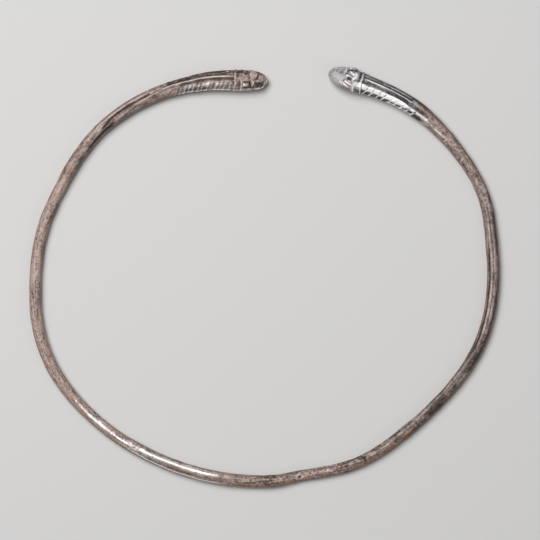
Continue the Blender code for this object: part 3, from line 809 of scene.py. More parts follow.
@dataclass
class End:
    """One end of the rod, with everything that is placed by its distance from the snout."""

    route: Route
    settings: TorcSettings
    sizes: PropertyGroup
    from_right: bool
    head_outline: tuple
    neck_outline: tuple
    carving: tuple
    patches: dict

    def place(self, distance):
        """The length along the route at a distance from this end's snout."""
        return distance if self.from_right else self.route.length - distance

    def half_width(self, distance):
        """Half the width of the section, before it is rolled."""
        head = self.settings.head
        bearing = self.route.read(self.route.bearings, self.place(distance))
        rod = self.settings.hoop.rod * smooth_through(HOOP_COURSE, 2, bearing)
        along = (distance - head.length) / (self.sizes.neck_length - head.length)
        neck = rod + (self.sizes.head_width - rod) * smooth_through(self.neck_outline, 1, along)
        along = distance / head.length
        tip, tip_width = self.head_outline[0]
        snout = smooth_through(self.head_outline, 1, along)
        snout = np.where(along < tip, tip_width * np.sqrt(np.clip(along / tip, 0.0, 1.0)), snout)
        return np.where(distance < head.length, self.sizes.head_width * snout, neck) / 2

    def neck_share(self, distance):
        """1 at the head and the carved neck, 0 where the plain rod starts."""
        start, stop = SECTION_FADE
        return 1 - ease(self.sizes.neck_length * start, self.sizes.neck_length * stop, distance)

    def roll(self, distance):
        """How far the back leans outward: the plain rod doesn't lean."""
        start, stop = LEAN_FADE
        fade = ease(self.sizes.neck_length * start, self.sizes.neck_length * stop, distance)
        return self.sizes.roll * (1 - fade)

    def depth(self, distance):
        """How far the lowest point of a rolled section is under its middle line."""
        width = self.half_width(distance)
        belly = width * (1 + (self.settings.head.belly - 1) * self.neck_share(distance))
        lean = self.roll(distance)
        return np.hypot(width * np.sin(lean), belly * np.cos(lean))

    def middle_height(self, distance):
        """How high the middle line runs, so that the underside rests at z = 0.

        The flat that it rests on is as deep as its width squared over eight radii, and is
        pressed in a little further.
        """
        head, hoop = self.settings.head, self.settings.hoop
        depth = self.depth(np.maximum(distance, head.length * LEVEL_SHARE))
        pressed = hoop.rest_flat**2 / 8 / depth * hoop.press
        drooping = 1 - ease(0, head.length * DROOP_SHARE, distance)
        return depth - pressed - head.droop * drooping

    def stroked_end(self):
        """Where the row of cuts ends."""
        start = self.settings.head.length + self.sizes.stroke_start
        return start + self.sizes.stroke_count * self.sizes.stroke_pitch

    def slanted(self, distance, from_back):
        """The distance at one point of a row, where the rows slant with the cuts."""
        head_end = self.settings.head.length
        stroked = self.stroked_end()
        faded = stroked + SLANT_FADE * self.sizes.stroke_pitch
        first, full = SLANT_START
        along = ease(head_end + first, head_end + full, distance)
        along = along * (1 - ease(stroked, faded, distance))
        across = ease(*SLANT_TOP, from_back) * (1 - ease(*SLANT_FOOT, from_back))
        side = np.radians(from_back - SLANT_MIDDLE) * self.sizes.head_width / 2
        return distance + self.sizes.stroke_lean * side * along * across

    def section(self, distance, from_back):
        """A point of the bare section, sideways and up from the middle line."""
        head = self.settings.head
        width = self.half_width(distance)
        tilt = np.radians(from_back + 90)
        neck = self.neck_share(distance)
        height = np.where(np.sin(tilt) > 0, head.crown, head.belly)
        side = np.cos(tilt) * width
        up = np.sin(tilt) * width * (1 + (height - 1) * neck)
        lean = self.roll(distance)
        return side * np.cos(lean) + up * np.sin(lean), up * np.cos(lean) - side * np.sin(lean)

    def skin(self, distance, from_back):
        """Points of the bare skin, before any carving."""
        out, up = self.section(distance, from_back)
        place = self.place(self.slanted(distance, from_back))
        read = self.route.read
        x = read(self.route.x, place) - read(self.route.ahead_y, place) * out
        y = read(self.route.y, place) + read(self.route.ahead_x, place) * out
        z = up + self.middle_height(distance)
        return np.stack([x, y, z * np.ones_like(x)], axis=-1)


def spaced(start, stop, step):
    """Even places from start up to but not including stop, about a step apart."""
    count = max(round((stop - start) / step), 1)
    return np.linspace(start, stop, count, endpoint=False)


# The snout's rows crowd together at its tip. Behind its share of the head the rows are these
# lengths apart, and in a row the points are these angles apart as far as their reach.
SNOUT_ROWS = 36
SNOUT_SHARE = 0.30
SNOUT_CROWDING = 1.5
HEAD_STEP = 0.00014
STROKE_STEP = 0.00018
NECK_STEP = 0.00045
ROD_STEP = 0.00074
BACK_STEP = 2.5
SIDE_STEP = 3.0
BELLY_STEP = 12.0
BACK_REACH = 20.0
SIDE_REACH = 101.0


def row_places(end):
    """Where the rows stand, from an end's snout to the middle of the hoop."""
    head = end.settings.head.length
    snout = head * SNOUT_SHARE
    strokes = head + end.sizes.stroke_start / 2
    stroked = end.stroked_end() + end.sizes.stroke_pitch
    return np.concatenate(
        [
            snout * (np.arange(SNOUT_ROWS) / SNOUT_ROWS) ** SNOUT_CROWDING,
            spaced(snout, strokes, HEAD_STEP),
            spaced(strokes, stroked, STROKE_STEP),
            spaced(stroked, end.sizes.neck_length, NECK_STEP),
            spaced(end.sizes.neck_length, end.route.length / 2, ROD_STEP),
        ]
    )


def column_angles():
    """The angles from the back of a row's points, closest together along the back."""
    back = spaced(-BACK_REACH, BACK_REACH, BACK_STEP)
    inner = spaced(BACK_REACH, SIDE_REACH, SIDE_STEP)
    belly = spaced(SIDE_REACH, 360 - SIDE_REACH, BELLY_STEP)
    outer = spaced(360 - SIDE_REACH, 360 - BACK_REACH, SIDE_STEP)
    angles = np.concatenate([back, inner, belly, outer])
    return (angles + 180) % 360 - 180


def distance_to_path(points, path):
    """How far each point is from a line through the path's points."""
    nearest = np.linalg.norm(points - path[0], axis=-1)
    for start, stop in zip(path, path[1:]):
        ahead = stop - start
        part = np.clip((points - start) @ ahead / (ahead @ ahead), 0.0, 1.0)
        gap = np.linalg.norm(points - start - part[..., None] * ahead, axis=-1)
        nearest = np.minimum(nearest, gap)
    return nearest


# The steps of a mark's drawn path, and how much further than the mark reaches the rows are
# searched, in millimetres
PATH_STEP = 1.0
SEARCH_ROOM = 1


def drawn_path(end, pairs, mirrored):
    """A mark's path as points on the bare skin, close enough together to follow it."""
    places, angles = np.array(pairs, float).T
    if mirrored:
        angles = -angles
    turn = np.radians(np.abs(np.diff(angles))) * end.sizes.head_width / 2 / MM
    steps = np.concatenate([[0.0], np.cumsum(np.hypot(np.diff(places), turn))])
    fine = np.linspace(0.0, steps[-1], math.ceil(steps[-1] / PATH_STEP) + 1)
    return end.skin(np.interp(fine, steps, places) * MM, np.interp(fine, steps, angles))


def mark_field(end, distances, skin, mark):
    """How strongly a mark shows at each point of the skin, from 0 to 1."""
    shown = np.zeros(skin.shape[:-1])
    reach = mark.half_width + mark.ring
    places = [pair[0] for pair in mark.path]
    first = (min(places) - reach - SEARCH_ROOM) * MM
    last = (max(places) + reach + SEARCH_ROOM) * MM
    near = (distances > first) & (distances < last)
    if not near.any():
        raise ValueError(f"no rows of points are near the mark {mark.name}")
    sides = (False, True) if mark.both_sides else (False,)
    for mirrored in sides:
        away = distance_to_path(skin[near], drawn_path(end, mark.path, mirrored)) / MM
        part = np.abs(away - mark.ring) / mark.half_width
        slope = np.maximum(part - mark.flat, 0.0) / (1 - mark.flat)
        shown[near] = np.maximum(shown[near], bump(slope, 1.0))
    return shown


# The keel starts between these lengths behind the head and fades over this length at its end.
# It is this many degrees wide to each side, with a groove this many degrees from its middle.
KEEL_START = (0.0004, 0.0020)
KEEL_FADE = 0.003
KEEL_HALF_WIDTH = 8
KEEL_SHARPNESS = 1.2
KEEL_GROOVE = 14
KEEL_GROOVE_SHARE = 0.35


def keel(end, distance, from_back):
    """The sharp line along the back of the neck, with a shallow groove on both sides."""
    head_end, last = end.settings.head.length, end.sizes.keel_end
    first, full = KEEL_START
    along = ease(head_end + first, head_end + full, distance)
    along = along * (1 - ease(last - KEEL_FADE, last, distance))
    turn = math.degrees(end.sizes.keel_turn) * ease(head_end, last, distance)
    away = np.abs(from_back - turn)
    sharp = np.clip(1 - away / KEEL_HALF_WIDTH, 0.0, 1.0) ** KEEL_SHARPNESS
    groove = bump(away - KEEL_GROOVE, KEEL_HALF_WIDTH)
    return along * (sharp - KEEL_GROOVE_SHARE * groove)


# The cuts wander from their even places, and are unevenly strong from one to the next and
# from top to foot
CUT_WANDER = 0.10
WANDER_WAVE = 2.7
CUT_UNEVENNESS = 0.45
UNEVEN_WAVE = 5.1
UNEVEN_TURN = 3
CUT_SHARPNESS = 2.2

# Counted in cuts, where the row starts and how long before its end it fades. In degrees, how
# far above and below the top of the cuts they fade in, and where they and the crests fade.
ROW_START = (-0.4, -0.2)
ROW_FADE = 0.7
ABOVE_TOP = 8
BELOW_TOP = 12
CUT_FOOT = (102, 118)
CREST_TOP = (30, 50)


def strokes(end, distance, from_back):
    """The slanting cuts down the inner flank, the metal between them and its crests."""
    sizes = end.sizes
    start = end.settings.head.length + sizes.stroke_start
    count = (distance - start) / sizes.stroke_pitch
    count = count + CUT_WANDER * np.sin(WANDER_WAVE * count)
    inside = ease(*ROW_START, count)
    inside = inside * (1 - ease(sizes.stroke_count - ROW_FADE, sizes.stroke_count, count))
    top = math.degrees(sizes.stroke_top)
    across = ease(top - ABOVE_TOP, top + BELOW_TOP, from_back)
    across = across * (1 - ease(*CUT_FOOT, from_back))
    nearest = np.round(count)
    away = np.abs(count - nearest) * sizes.stroke_pitch
    wave = np.sin(UNEVEN_WAVE * nearest + np.radians(UNEVEN_TURN * from_back))
    strength = 1 - CUT_UNEVENNESS * (1 + wave) / 2
    cut = strength * np.clip(1 - away / sizes.stroke_width, 0.0, 1.0) ** CUT_SHARPNESS
    crest = strength * bump(sizes.stroke_pitch / 2 - away, sizes.stroke_width / 2)
    crest = crest * ease(*CREST_TOP, from_back)
    return inside * across * cut, inside * across * (1 - cut), inside * across * crest


# The collar bends back between the first two angles and ends between the others. A groove
# runs this many collar widths away on both sides.
COLLAR_BEND = (30, 100)
COLLAR_END = (100, 120)
COLLAR_GROOVE = 1.5
COLLAR_GROOVE_SHARE = 0.5


def collar(end, distance, from_back):
    """The raised line that ends the head, with a shallow groove before and behind it."""
    head = end.settings.head
    place = head.length - end.sizes.collar_forward
    place = place + end.sizes.collar_lean * ease(*COLLAR_BEND, from_back)
    away = distance - place
    across = 1 - ease(*COLLAR_END, np.abs(from_back))
    groove = bump(np.abs(away) - head.collar_width * COLLAR_GROOVE, head.collar_width)
    return across * (bump(away, head.collar_width) - COLLAR_GROOVE_SHARE * groove)


# How far to each side of the lowest line the underside has no hammered flats, in degrees
UNDERSIDE_REACH = 75


def facets(end, distance, from_back):
    """The broad flats that hammering leaves along the plain rod, away from its underside."""
    hammer = end.settings.hammer
    bearing = np.radians(end.route.read(end.route.bearings, end.place(distance)))
    under = bump(np.abs(from_back) - 180, UNDERSIDE_REACH)
    plain = (1 - end.neck_share(distance)) * (1 - under)
    turn = np.radians(hammer.facets * (from_back + 90))
    return plain * np.cos(turn + hammer.facet_twists * bearing)


def soft_noise(points, size, seed):
    """Smooth noise from -1 to 1 at the points, with uneven places of about the size."""
    shift = Vector((seed, -seed, 2 * seed))
    flat = points.reshape(-1, 3) / size
    values = [noise.noise(Vector(point) + shift) for point in flat.tolist()]
    return np.array(values).reshape(points.shape[:-1])


# Keeps a vector without a length from being divided by nothing
TINY = 1e-12


def skin_normals(skin):
    """The direction square to the skin at each point: outward where the rows run clockwise."""
    along = np.gradient(skin, axis=0)
    around = np.roll(skin, -1, axis=1) - np.roll(skin, 1, axis=1)
    normal = np.cross(around, along)
    size = np.linalg.norm(normal, axis=-1, keepdims=True)
    return normal / np.maximum(size, TINY)


# The finish of the chased lines, with painted highlights: to how many degrees on both sides the
# cuts turn from dark to a painted bright, how worn the metal between them is, how soon a cut's
# painted highlight is full, and between which angles the collar's painted highlight starts
TURN_REACH = 8
PILLOW_WEAR = 0.15
CUT_SHINE = 2.6
COLLAR_LIT = (-15, 5)


def chased_lines(end, row, column):
    """How far the keel, cuts, collar and hammered flats stand out, and the finish they leave, with
    painted highlights on the lower cuts, the crests and the collar's lit side.
    """
    settings, sizes = end.settings, end.sizes
    lines = keel(end, row, column)
    cuts, pillows, crests = strokes(end, row, column)
    rings = collar(end, row, column)
    raised = settings.neck.keel_rise * lines - sizes.stroke_depth * cuts
    raised = raised + settings.head.collar_rise * rings
    raised = raised + settings.hammer.facet_depth * facets(end, row, column)

    turn = math.degrees(sizes.stroke_turn)
    shine = sizes.stroke_shine * ease(turn - TURN_REACH, turn + TURN_REACH, column)
    ring_tops = np.clip(rings, 0, 1)
    worn = np.clip(lines, 0, 1) ** 2 + ring_tops + (1 - shine) * pillows * PILLOW_WEAR
    shaded = np.clip((1 + sizes.stroke_shine) * cuts, 0, 1)
    cut = (1 - shine) * shaded + np.clip(-rings, 0, 1) + np.clip(-lines, 0, 1)
    # The cuts below the turn are painted bright, part freshly cut metal and part painted highlight;
    # the crests between the cuts and the collar's line on its lit side are painted highlights
    scored_and_highlight = shine * np.clip(CUT_SHINE * cuts, 0, 1) + sizes.crest_shine * crests
    scored_and_highlight = scored_and_highlight + sizes.collar_shine * ring_tops * ease(*COLLAR_LIT, column)
    return raised, {"worn": worn, "cut": cut, "scored_and_highlight": scored_and_highlight}


# How much less dented the carved ends are than the plain rod. Each kind of noise has a seed,
# and the pocks' noise is doubled because it seldom passes a half.
CARVED_CALM = 0.7
DENT_SEED = 3.7
RIPPLE_SEED = 6.4
POCK_SEED = 9.1
POCK_GAIN = 2


def hammered(end, row, skin, raised, crust):
    """The heights with the hammer's dents and ripples and the crust's pocks added."""
    hammer = end.settings.hammer
    plain = 1 - CARVED_CALM * end.neck_share(row)
    dents = soft_noise(skin, hammer.dent_size, DENT_SEED)
    ripples = soft_noise(skin, hammer.ripple_size, RIPPLE_SEED)
    pocks = soft_noise(skin, hammer.pock_size, POCK_SEED)
    raised = raised + hammer.dent_depth * plain * dents
    raised = raised + hammer.ripple_depth * ripples
    return raised - hammer.pock_depth * crust * np.abs(pocks) * POCK_GAIN


# A mark this many millimetres high or deep is fully worn or dark, and everything that stands
# on the bare skin fades out over this length at the snout
FULL_RELIEF = 0.25
SNOUT_FADE = 0.0012


def half_of_hoop(end, angles):
    """The points and the finish of half the hoop, in rows from one snout to the far side."""
    distances = row_places(end)
    row, column = distances[:, None], angles[None, :]
    skin = end.skin(row, column)
    masks = {name: np.zeros(skin.shape[:-1]) for name in MASKS}
    raised, chased = chased_lines(end, row, column)
    masks.update(chased)

    for mark in end.carving:
        shown = mark_field(end, distances, skin, mark)
        raised = raised + shown * mark.amount * MM
        kind = "worn" if mark.amount > 0 else "cut"
        masks[kind] = masks[kind] + shown * min(abs(mark.amount) / FULL_RELIEF, 1.0)

    for name, marks in end.patches.items():
        for mark in marks:
            shown = mark_field(end, distances, skin, mark) * mark.amount
            masks[name] = 1 - (1 - masks[name]) * (1 - shown)

    raised = hammered(end, row, skin, raised, masks["crust"])
    raised = raised * ease(0, SNOUT_FADE, row)
    outward = skin_normals(skin) * (1 if end.from_right else -1)
    points = skin + outward * raised[..., None]
    points[..., 2] = np.maximum(points[..., 2], 0.0)
    out, up = end.section(row, column)
    straight = np.stack([end.place(row) * np.ones_like(out), out, up], axis=-1)
    return points, straight, masks


def joined(right, left):
    """The rows of both halves in one list, from the right snout to the left one."""
    return np.concatenate([right, left[::-1]])


def torc_skin(settings):
    """The rows of the whole skin: points, straightened places and masks."""
    route = Route(settings.hoop)
    right = End(
        route=route,
        settings=settings,
        sizes=settings.right,
        from_right=True,
        head_outline=RIGHT_HEAD_OUTLINE,
        neck_outline=RIGHT_NECK_OUTLINE,
        carving=RIGHT_CARVING + RIGHT_ROD_LINES,
        patches=RIGHT_PATCHES,
    )
    left = End(
        route=route,
        settings=settings,
        sizes=settings.left,
        from_right=False,
        head_outline=LEFT_HEAD_OUTLINE,
        neck_outline=LEFT_NECK_OUTLINE,
        carving=LEFT_CARVING + LEFT_ROD_LINES,
        patches=LEFT_PATCHES,
    )
    angles = column_angles()
    right_points, right_straight, right_masks = half_of_hoop(right, angles)
    left_points, left_straight, left_masks = half_of_hoop(left, angles)
    masks = {name: joined(right_masks[name], left_masks[name]) for name in right_masks}
    return joined(right_points, left_points), joined(right_straight, left_straight), masks


# Half the width of the flat grid that the skin starts as, and how close together two points
# are the same one
HALF_GRID = 0.5
SAME_PLACE = 1e-6


def skin_mesh(name, points, straight, masks):
    """One closed mesh: a grid whose rows become the rows of points, rolled up and closed."""
    rows, columns = points.shape[:2]
    bm = bmesh.new()
    place = bm.verts.layers.float_vector.new(ROD_PLACE)
    layers = {mask: bm.verts.layers.float.new(mask) for mask in masks}
    bmesh.ops.create_grid(bm, x_segments=rows - 1, y_segments=columns, size=HALF_GRID)
    values = {mask: np.clip(shares, 0.0, 1.0).tolist() for mask, shares in masks.items()}
    positions, straight_places = points.tolist(), straight.tolist()
    for vert in bm.verts:
        row = round((vert.co.x + HALF_GRID) * (rows - 1))
        column = round((vert.co.y + HALF_GRID) * columns) % columns
        vert.co = positions[row][column]
        vert[place] = straight_places[row][column]
        for mask, layer in layers.items():
            vert[layer] = values[mask][row][column]
    bmesh.ops.remove_doubles(bm, verts=bm.verts, dist=SAME_PLACE)
    bmesh.ops.recalc_face_normals(bm, faces=bm.faces)
    mesh = bpy.data.meshes.new(name)
    bm.to_mesh(mesh)
    bm.free()
    return mesh


def centre_over(mesh, low, high):
    """Moves the mesh sideways until the middle of its outline is over the middle of the box."""
    places = np.array([vert.co for vert in mesh.vertices])
    middle = (places.min(axis=0) + places.max(axis=0)) / 2
    target = (low + high) / 2
    mesh.transform(Matrix.Translation((target.x - middle[0], target.y - middle[1], 0.0)))


# The places of a Mix node's sockets that work on colours
MIX_FACTOR = 0
MIX_FIRST = 6
MIX_SECOND = 7
MIX_RESULT = 2


class Socket:
    """A node's output, on which plain arithmetic adds Math nodes."""

    def __init__(self, graph, output):
        self.graph = graph
        self.output = output

    def math(self, operation, *values):
        """A Math node on this value and the others."""
        return self.graph.node("ShaderNodeMath", {"operation": operation}, values)

    def __add__(self, other):
        return self.math("ADD", self, other)

    def __radd__(self, other):
        return self.math("ADD", other, self)

    def __sub__(self, other):
        return self.math("SUBTRACT", self, other)

    def __rsub__(self, other):
        return self.math("SUBTRACT", other, self)

    def __mul__(self, other):
        return self.math("MULTIPLY", self, other)

    def __rmul__(self, other):
        return self.math("MULTIPLY", other, self)

    def clamped(self):
        """The value kept between 0 and 1."""
        return self.graph.node("ShaderNodeClamp", {}, (self, 0.0, 1.0))


class Graph:
    """The nodes of one material."""

    def __init__(self, name):
        self.material = bpy.data.materials.new(name)
        self.material.use_nodes = True
        self.tree = self.material.node_tree
        self.shader = self.tree.nodes["Principled BSDF"]

    def node(self, kind, settings, sockets, output=0):
        """A node of a type, with its settings set first and then its sockets' values or links."""
        made = self.tree.nodes.new(kind)
        for name, value in settings.items():
            setattr(made, name, value)
        pairs = sockets.items() if isinstance(sockets, dict) else enumerate(sockets)
        for key, value in pairs:
            self.feed(made.inputs[key], value)
        return Socket(self, made.outputs[output])

    def feed(self, target, value):
        """Links a socket, or sets it to a plain value."""
        if isinstance(value, Socket):
            self.tree.links.new(value.output, target)
        elif isinstance(value, (int, float)):
            target.default_value = value
        else:
            parts = tuple(value)
            lacks_alpha = len(target.default_value) == 4 and len(parts) == 3
            target.default_value = parts + (1.0,) if lacks_alpha else parts

    def surface(self, name, value):
        """Links or sets one of the shader's own sockets."""
        self.feed(self.shader.inputs[name], value)

    def attribute(self, name):
        """A mask that the mesh carries."""
        return self.node("ShaderNodeAttribute", {"attribute_name": name}, {}, output="Fac")

    def place(self, name):
        """A place that the mesh carries."""
        return self.node("ShaderNodeAttribute", {"attribute_name": name}, {}, output="Vector")

    def stretched(self, vector, factors):
        """A vector with each part multiplied by its factor."""
        return self.node("ShaderNodeVectorMath", {"operation": "MULTIPLY"}, (vector, factors))

    def noise(self, vector, size, detail=3.0, roughness=0.5):
        """Smooth noise from 0 to 1, with places of about the size."""
        sockets = {"Vector": vector, "Scale": 1 / size, "Detail": detail, "Roughness": roughness}
        return self.node("ShaderNodeTexNoise", {}, sockets)

    def mixed(self, factor, first, second):
        """A colour between two others."""
        sockets = {MIX_FACTOR: factor, MIX_FIRST: first, MIX_SECOND: second}
        return self.node("ShaderNodeMix", {"data_type": "RGBA"}, sockets, output=MIX_RESULT)


def moved(below, above, part):
    """A value part of the way from one to another."""
    return below + (above - below) * part


# The usual sizes of the patterns in the skin, and the factors that draw two of them out
# along the rod
STREAK_SIZE = 0.0006
BAND_SIZE = 0.0013
MOTTLE_SIZE = 0.0011
BLOTCH_SIZE = 0.0042
CLOUD_SIZE = 0.014
GRAIN_SIZE = 0.00065
POCK_SIZE = 0.0007
STREAK_STRETCH = (0.08, 1.0, 1.0)
BAND_STRETCH = (0.28, 1.0, 1.0)


@dataclass
class Patterns:
    """The patterns in the skin, each from -0.5 to 0.5, but the pocks from 0 to 1."""

    streaks: Socket
    bands: Socket
    mottle: Socket
    blotches: Socket
    clouds: Socket
    grain: Socket
    pocks: Socket


def skin_patterns(graph):
    """The patterns, which follow the place on the straightened rod."""
    place = graph.place(ROD_PLACE)
    drawn_out = graph.stretched(place, STREAK_STRETCH)
    less_drawn_out = graph.stretched(place, BAND_STRETCH)
    return Patterns(
        streaks=graph.noise(drawn_out, STREAK_SIZE) - 0.5,
        bands=graph.noise(less_drawn_out, BAND_SIZE) - 0.5,
        mottle=graph.noise(place, MOTTLE_SIZE, roughness=0.6) - 0.5,
        blotches=graph.noise(place, BLOTCH_SIZE) - 0.5,
        clouds=graph.noise(place, CLOUD_SIZE, detail=2.0) - 0.5,
        grain=graph.noise(place, GRAIN_SIZE, roughness=0.65) - 0.5,
        pocks=graph.noise(place, POCK_SIZE, detail=2.0),
    )


# The plain skin's tone, from 0 in the deepest hollows and painted shade to 1 where it is palest,
# how much faster than the warm skin the ashen one lightens and from which tone, and how unevenly
# and how far rust and the painted warm reflection cover the skin
SKIN_TONE = 0.54
ASH_GAIN = 1.5
ASH_START = 0.05
RUST_AND_REFLECTION_UNEVENNESS = 4.0
RUST_AND_REFLECTION_COVER = 0.8


def matt_skin(graph, looks, seen, masks):
    """The colour of the skin: warm or ashen, lighter where worn and where light is painted, darker
    in cuts and where shade is painted, with rust and a painted warm reflection.
    """
    broad = seen.blotches + 0.6 * seen.clouds + 0.9 * seen.bands
    fine = 0.8 * seen.streaks + 1.1 * seen.mottle + seen.grain
    lively = looks.contrast * (fine * (1 + masks["crust"]) + broad * (1 - 0.5 * masks["crust"]))
    # The pale mask carries painted light on the left rod's outer side and round the worn crown; the
    # dark one carries painted shade along flanks and edges as well as dark patina
    tone = SKIN_TONE + lively + 0.25 * masks["worn"] + 0.30 * masks["pale"]
    tone = tone + 0.04 * masks["crust"]
    tone = (tone - 0.50 * masks["dark"] - 0.50 * masks["cut"]).clamped()
    lower = graph.mixed((tone * 2).clamped(), looks.deep, looks.middle)
    warm = graph.mixed((tone * 2 - 1).clamped(), lower, looks.pale)
    ash = graph.mixed((tone * ASH_GAIN - ASH_START).clamped(), looks.soot_and_shade, looks.ash)
    skin = graph.mixed(masks["ashen"], warm, ash)
    rust_and_reflection_share = (masks["rust"] * (1 + RUST_AND_REFLECTION_UNEVENNESS * seen.blotches)).clamped() * RUST_AND_REFLECTION_COVER
    return graph.mixed(rust_and_reflection_share, skin, looks.rust)


# How strong a bright patch has to be before half of it shows, how crisp its edge is, and how
# soon its weakest parts count
POLISH_EDGE = 0.34
POLISH_CRISPNESS = 2.2
POLISH_ONSET = 5


def polished_part(seen, masks):
    """How far the metal is worn bright, in uneven patches that leave the cuts dark."""
    broad = seen.bands + 1.3 * seen.mottle + 0.7 * seen.blotches
    patchy = broad + seen.streaks + 0.5 * seen.grain
    edge = masks["bright"] - POLISH_EDGE + patchy + 0.2 * masks["worn"] - 0.5 * masks["cut"]
    return (edge * POLISH_CRISPNESS).clamped() * (masks["bright"] * POLISH_ONSET).clamped()


def scratch_and_highlight_part(seen, masks):
    """How far the metal is freshly cut or scratched, or painted with a highlight or glint."""
    uneven = 1.1 + 3.0 * seen.streaks + 2.0 * seen.mottle - 1.1 * masks["cut"]
    return (masks["scored_and_highlight"] * uneven).clamped()


def roughness(looks, seen, masks, shown, scratched_and_highlit):
    """Matt on the skin, glossier on polished metal and on scratched metal and painted highlights.
    """
    matt = looks.matt_gloss + 0.5 * seen.mottle + 0.3 * seen.grain
    matt = matt + 0.12 * masks["crust"] - 0.08 * masks["worn"] + 0.25 * masks["dark"]
    polished = looks.bright_gloss + 0.6 * seen.streaks + 0.4 * seen.mottle
    return moved(moved(matt, polished, shown), looks.scratch_gloss, scratched_and_highlit).clamped()


def relief(graph, looks, seen, masks, shown):
    """The fine grain, streaks and pocks as bumps, weaker on polished metal."""
    height = seen.mottle + 0.35 * seen.grain + 0.6 * seen.streaks + 0.4 * seen.bands
    height = height + 1.2 * masks["crust"] * seen.pocks
    sockets = {"Distance": looks.grain_depth, "Height": height * (1 - 0.3 * shown)}
    return graph.node("ShaderNodeBump", {}, sockets)


def aged_silver(looks):
    """Silver under a warm grey skin that is worn through to bright metal in places, with painted
    highlights, painted shade and a painted warm reflection.
    """
    graph = Graph("aged_silver")
    seen = skin_patterns(graph)
    masks = {name: graph.attribute(name) for name in MASKS}
    shown = polished_part(seen, masks)
    scratched_and_highlit = scratch_and_highlight_part(seen, masks)
    skin = matt_skin(graph, looks, seen, masks)
    polished = graph.mixed(shown, skin, looks.bare)
    # The scratched silver's colour here carries the painted highlights and glints as well as the
    # cut metal
    graph.surface("Base Color", graph.mixed(scratched_and_highlit, polished, looks.scratch))
    metal = moved(looks.skin_metal, looks.ash_metal, masks["ashen"])
    metal = moved(moved(metal, 1, shown), looks.scratch_metal, scratched_and_highlit)
    graph.surface("Metallic", metal)
    graph.surface("Roughness", roughness(looks, seen, masks, shown, scratched_and_highlit))
    graph.surface("Normal", relief(graph, looks, seen, masks, shown))
    return graph.material


FLOOR_ROUGHNESS = 0.85


def plain_floor(looks):
    """A matt pale floor."""
    graph = Graph("pale_floor")
    graph.surface("Base Color", looks.floor)
    graph.surface("Roughness", FLOOR_ROUGHNESS)
    return graph.material


def shown_object(name, data):
    """A new object in the scene."""
    made = bpy.data.objects.new(name, data)
    bpy.context.scene.collection.objects.link(made)
    return made


def soft_light(name, size, strength, location):
    """A square light that faces the middle of the hoop."""
    data = bpy.data.lights.new(name, "AREA")
    data.shape = "SQUARE"
    data.size = size
    data.energy = strength
    light = shown_object(name, data)
    light.location = location
    light.rotation_euler = (-Vector(location)).to_track_quat("-Z", "Y").to_euler()
    light.visible_camera = False


class TORC_OT_silver(Operator):
    """Builds the hammered and carved silver skin of the torc"""

    bl_idname = "torc.silver"
    bl_label = "Silver torc"

    def execute(self, context):
        settings = context.scene.torc
        mesh = skin_mesh("torc_silver", *torc_skin(settings))
        if not mesh.polygons:
            raise RuntimeError("the torc's skin has no faces")
        centre_over(mesh, CAD_LOW, CAD_HIGH)
        mesh.shade_smooth()
        mesh.materials.append(aged_silver(settings.silver))
        torc = shown_object("torc_silver", mesh)
        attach(torc, "root")
        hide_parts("torc")
        return {"FINISHED"}


# The stage's fixed places and sizes. The key light hangs to the left and behind by its height
# over this number, and the camera stands this far aside of the hoop's middle.
FLOOR_GAP = 0.00005
KEY_SLANT = 3
FILL_SIZE = 1.0
FILL_PLACE = (0.9, -0.6, 1.0)
SKY_COLOUR = (1.0, 0.99, 0.98, 1.0)
SENSOR_WIDTH = 36.0
CAMERA_ASIDE = (0.00226, 0.0028)


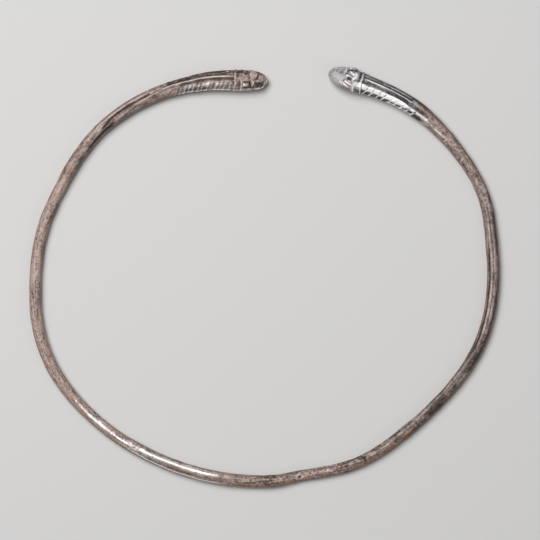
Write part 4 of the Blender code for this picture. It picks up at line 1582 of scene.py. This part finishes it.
class TORC_OT_stage(Operator):
    """Sets the floor, the soft lights and the camera that looks down on the torc"""

    bl_idname = "torc.stage"
    bl_label = "Plain stage"

    def execute(self, context):
        looks = context.scene.torc.stage
        self.lay_floor(looks)
        self.hang_lights(context.scene, looks)
        self.place_camera(context.scene, looks)
        return {"FINISHED"}

    def lay_floor(self, looks):
        """A wide flat floor just under the torc."""
        bm = bmesh.new()
        bmesh.ops.create_grid(bm, x_segments=1, y_segments=1, size=looks.floor_size / 2)
        bmesh.ops.translate(bm, verts=bm.verts, vec=(0.0, 0.0, CAD_LOW.z - FLOOR_GAP))
        mesh = bpy.data.meshes.new("floor")
        bm.to_mesh(mesh)
        bm.free()
        mesh.materials.append(plain_floor(looks))
        shown_object("floor", mesh)

    def hang_lights(self, scene, looks):
        """A soft key light high up on the left, a weak broad one opposite and an even sky."""
        aside = looks.key_height / KEY_SLANT
        key_place = (-aside, aside, looks.key_height)
        soft_light("key_light", looks.key_size, looks.key_power, key_place)
        soft_light("fill_light", FILL_SIZE, looks.fill_power, FILL_PLACE)
        world = bpy.data.worlds.new("even_sky")
        world.use_nodes = True
        sky = world.node_tree.nodes["Background"]
        sky.inputs["Color"].default_value = SKY_COLOUR
        sky.inputs["Strength"].default_value = looks.sky
        scene.world = world
        scene.view_settings.view_transform = "Standard"

    def place_camera(self, scene, looks):
        """A long lens straight above the hoop."""
        data = bpy.data.cameras.new("camera")
        data.sensor_width = SENSOR_WIDTH
        data.lens = data.sensor_width * looks.camera_height / looks.view_width
        camera = shown_object("camera", data)
        camera.location = (*CAMERA_ASIDE, looks.camera_height)
        scene.camera = camera


class TORC_PT_panel(Panel):
    """Lists the torc's settings and its operators"""

    bl_idname = "TORC_PT_panel"
    bl_label = "Snake-head torc"
    bl_space_type = "VIEW_3D"
    bl_region_type = "UI"
    bl_category = "Torc"

    def draw(self, context):
        settings = context.scene.torc
        for name in ("hoop", "head", "neck", "right", "left", "hammer", "silver", "stage"):
            box = self.layout.box()
            box.label(text=name.capitalize())
            group = getattr(settings, name)
            for key in group.bl_rna.properties.keys():
                if key not in ("rna_type", "name"):
                    box.prop(group, key)
        self.layout.operator(TORC_OT_silver.bl_idname)
        self.layout.operator(TORC_OT_stage.bl_idname)


CLASSES = (
    HoopSizes,
    HeadSizes,
    NeckSizes,
    RightEndSizes,
    LeftEndSizes,
    HammerSizes,
    SilverLooks,
    StageLooks,
    TorcSettings,
    TORC_OT_silver,
    TORC_OT_stage,
    TORC_PT_panel,
)


def register():
    """Adds the classes and the scene's settings."""
    for cls in CLASSES:
        bpy.utils.register_class(cls)
    bpy.types.Scene.torc = PointerProperty(type=TorcSettings)


def unregister():
    """Removes them again."""
    del bpy.types.Scene.torc
    for cls in reversed(CLASSES):
        bpy.utils.unregister_class(cls)


def main():
    """Dresses the torc and sets the stage."""
    register()
    bpy.ops.torc.silver()
    bpy.ops.torc.stage()


if __name__ == "__main__":
    main()
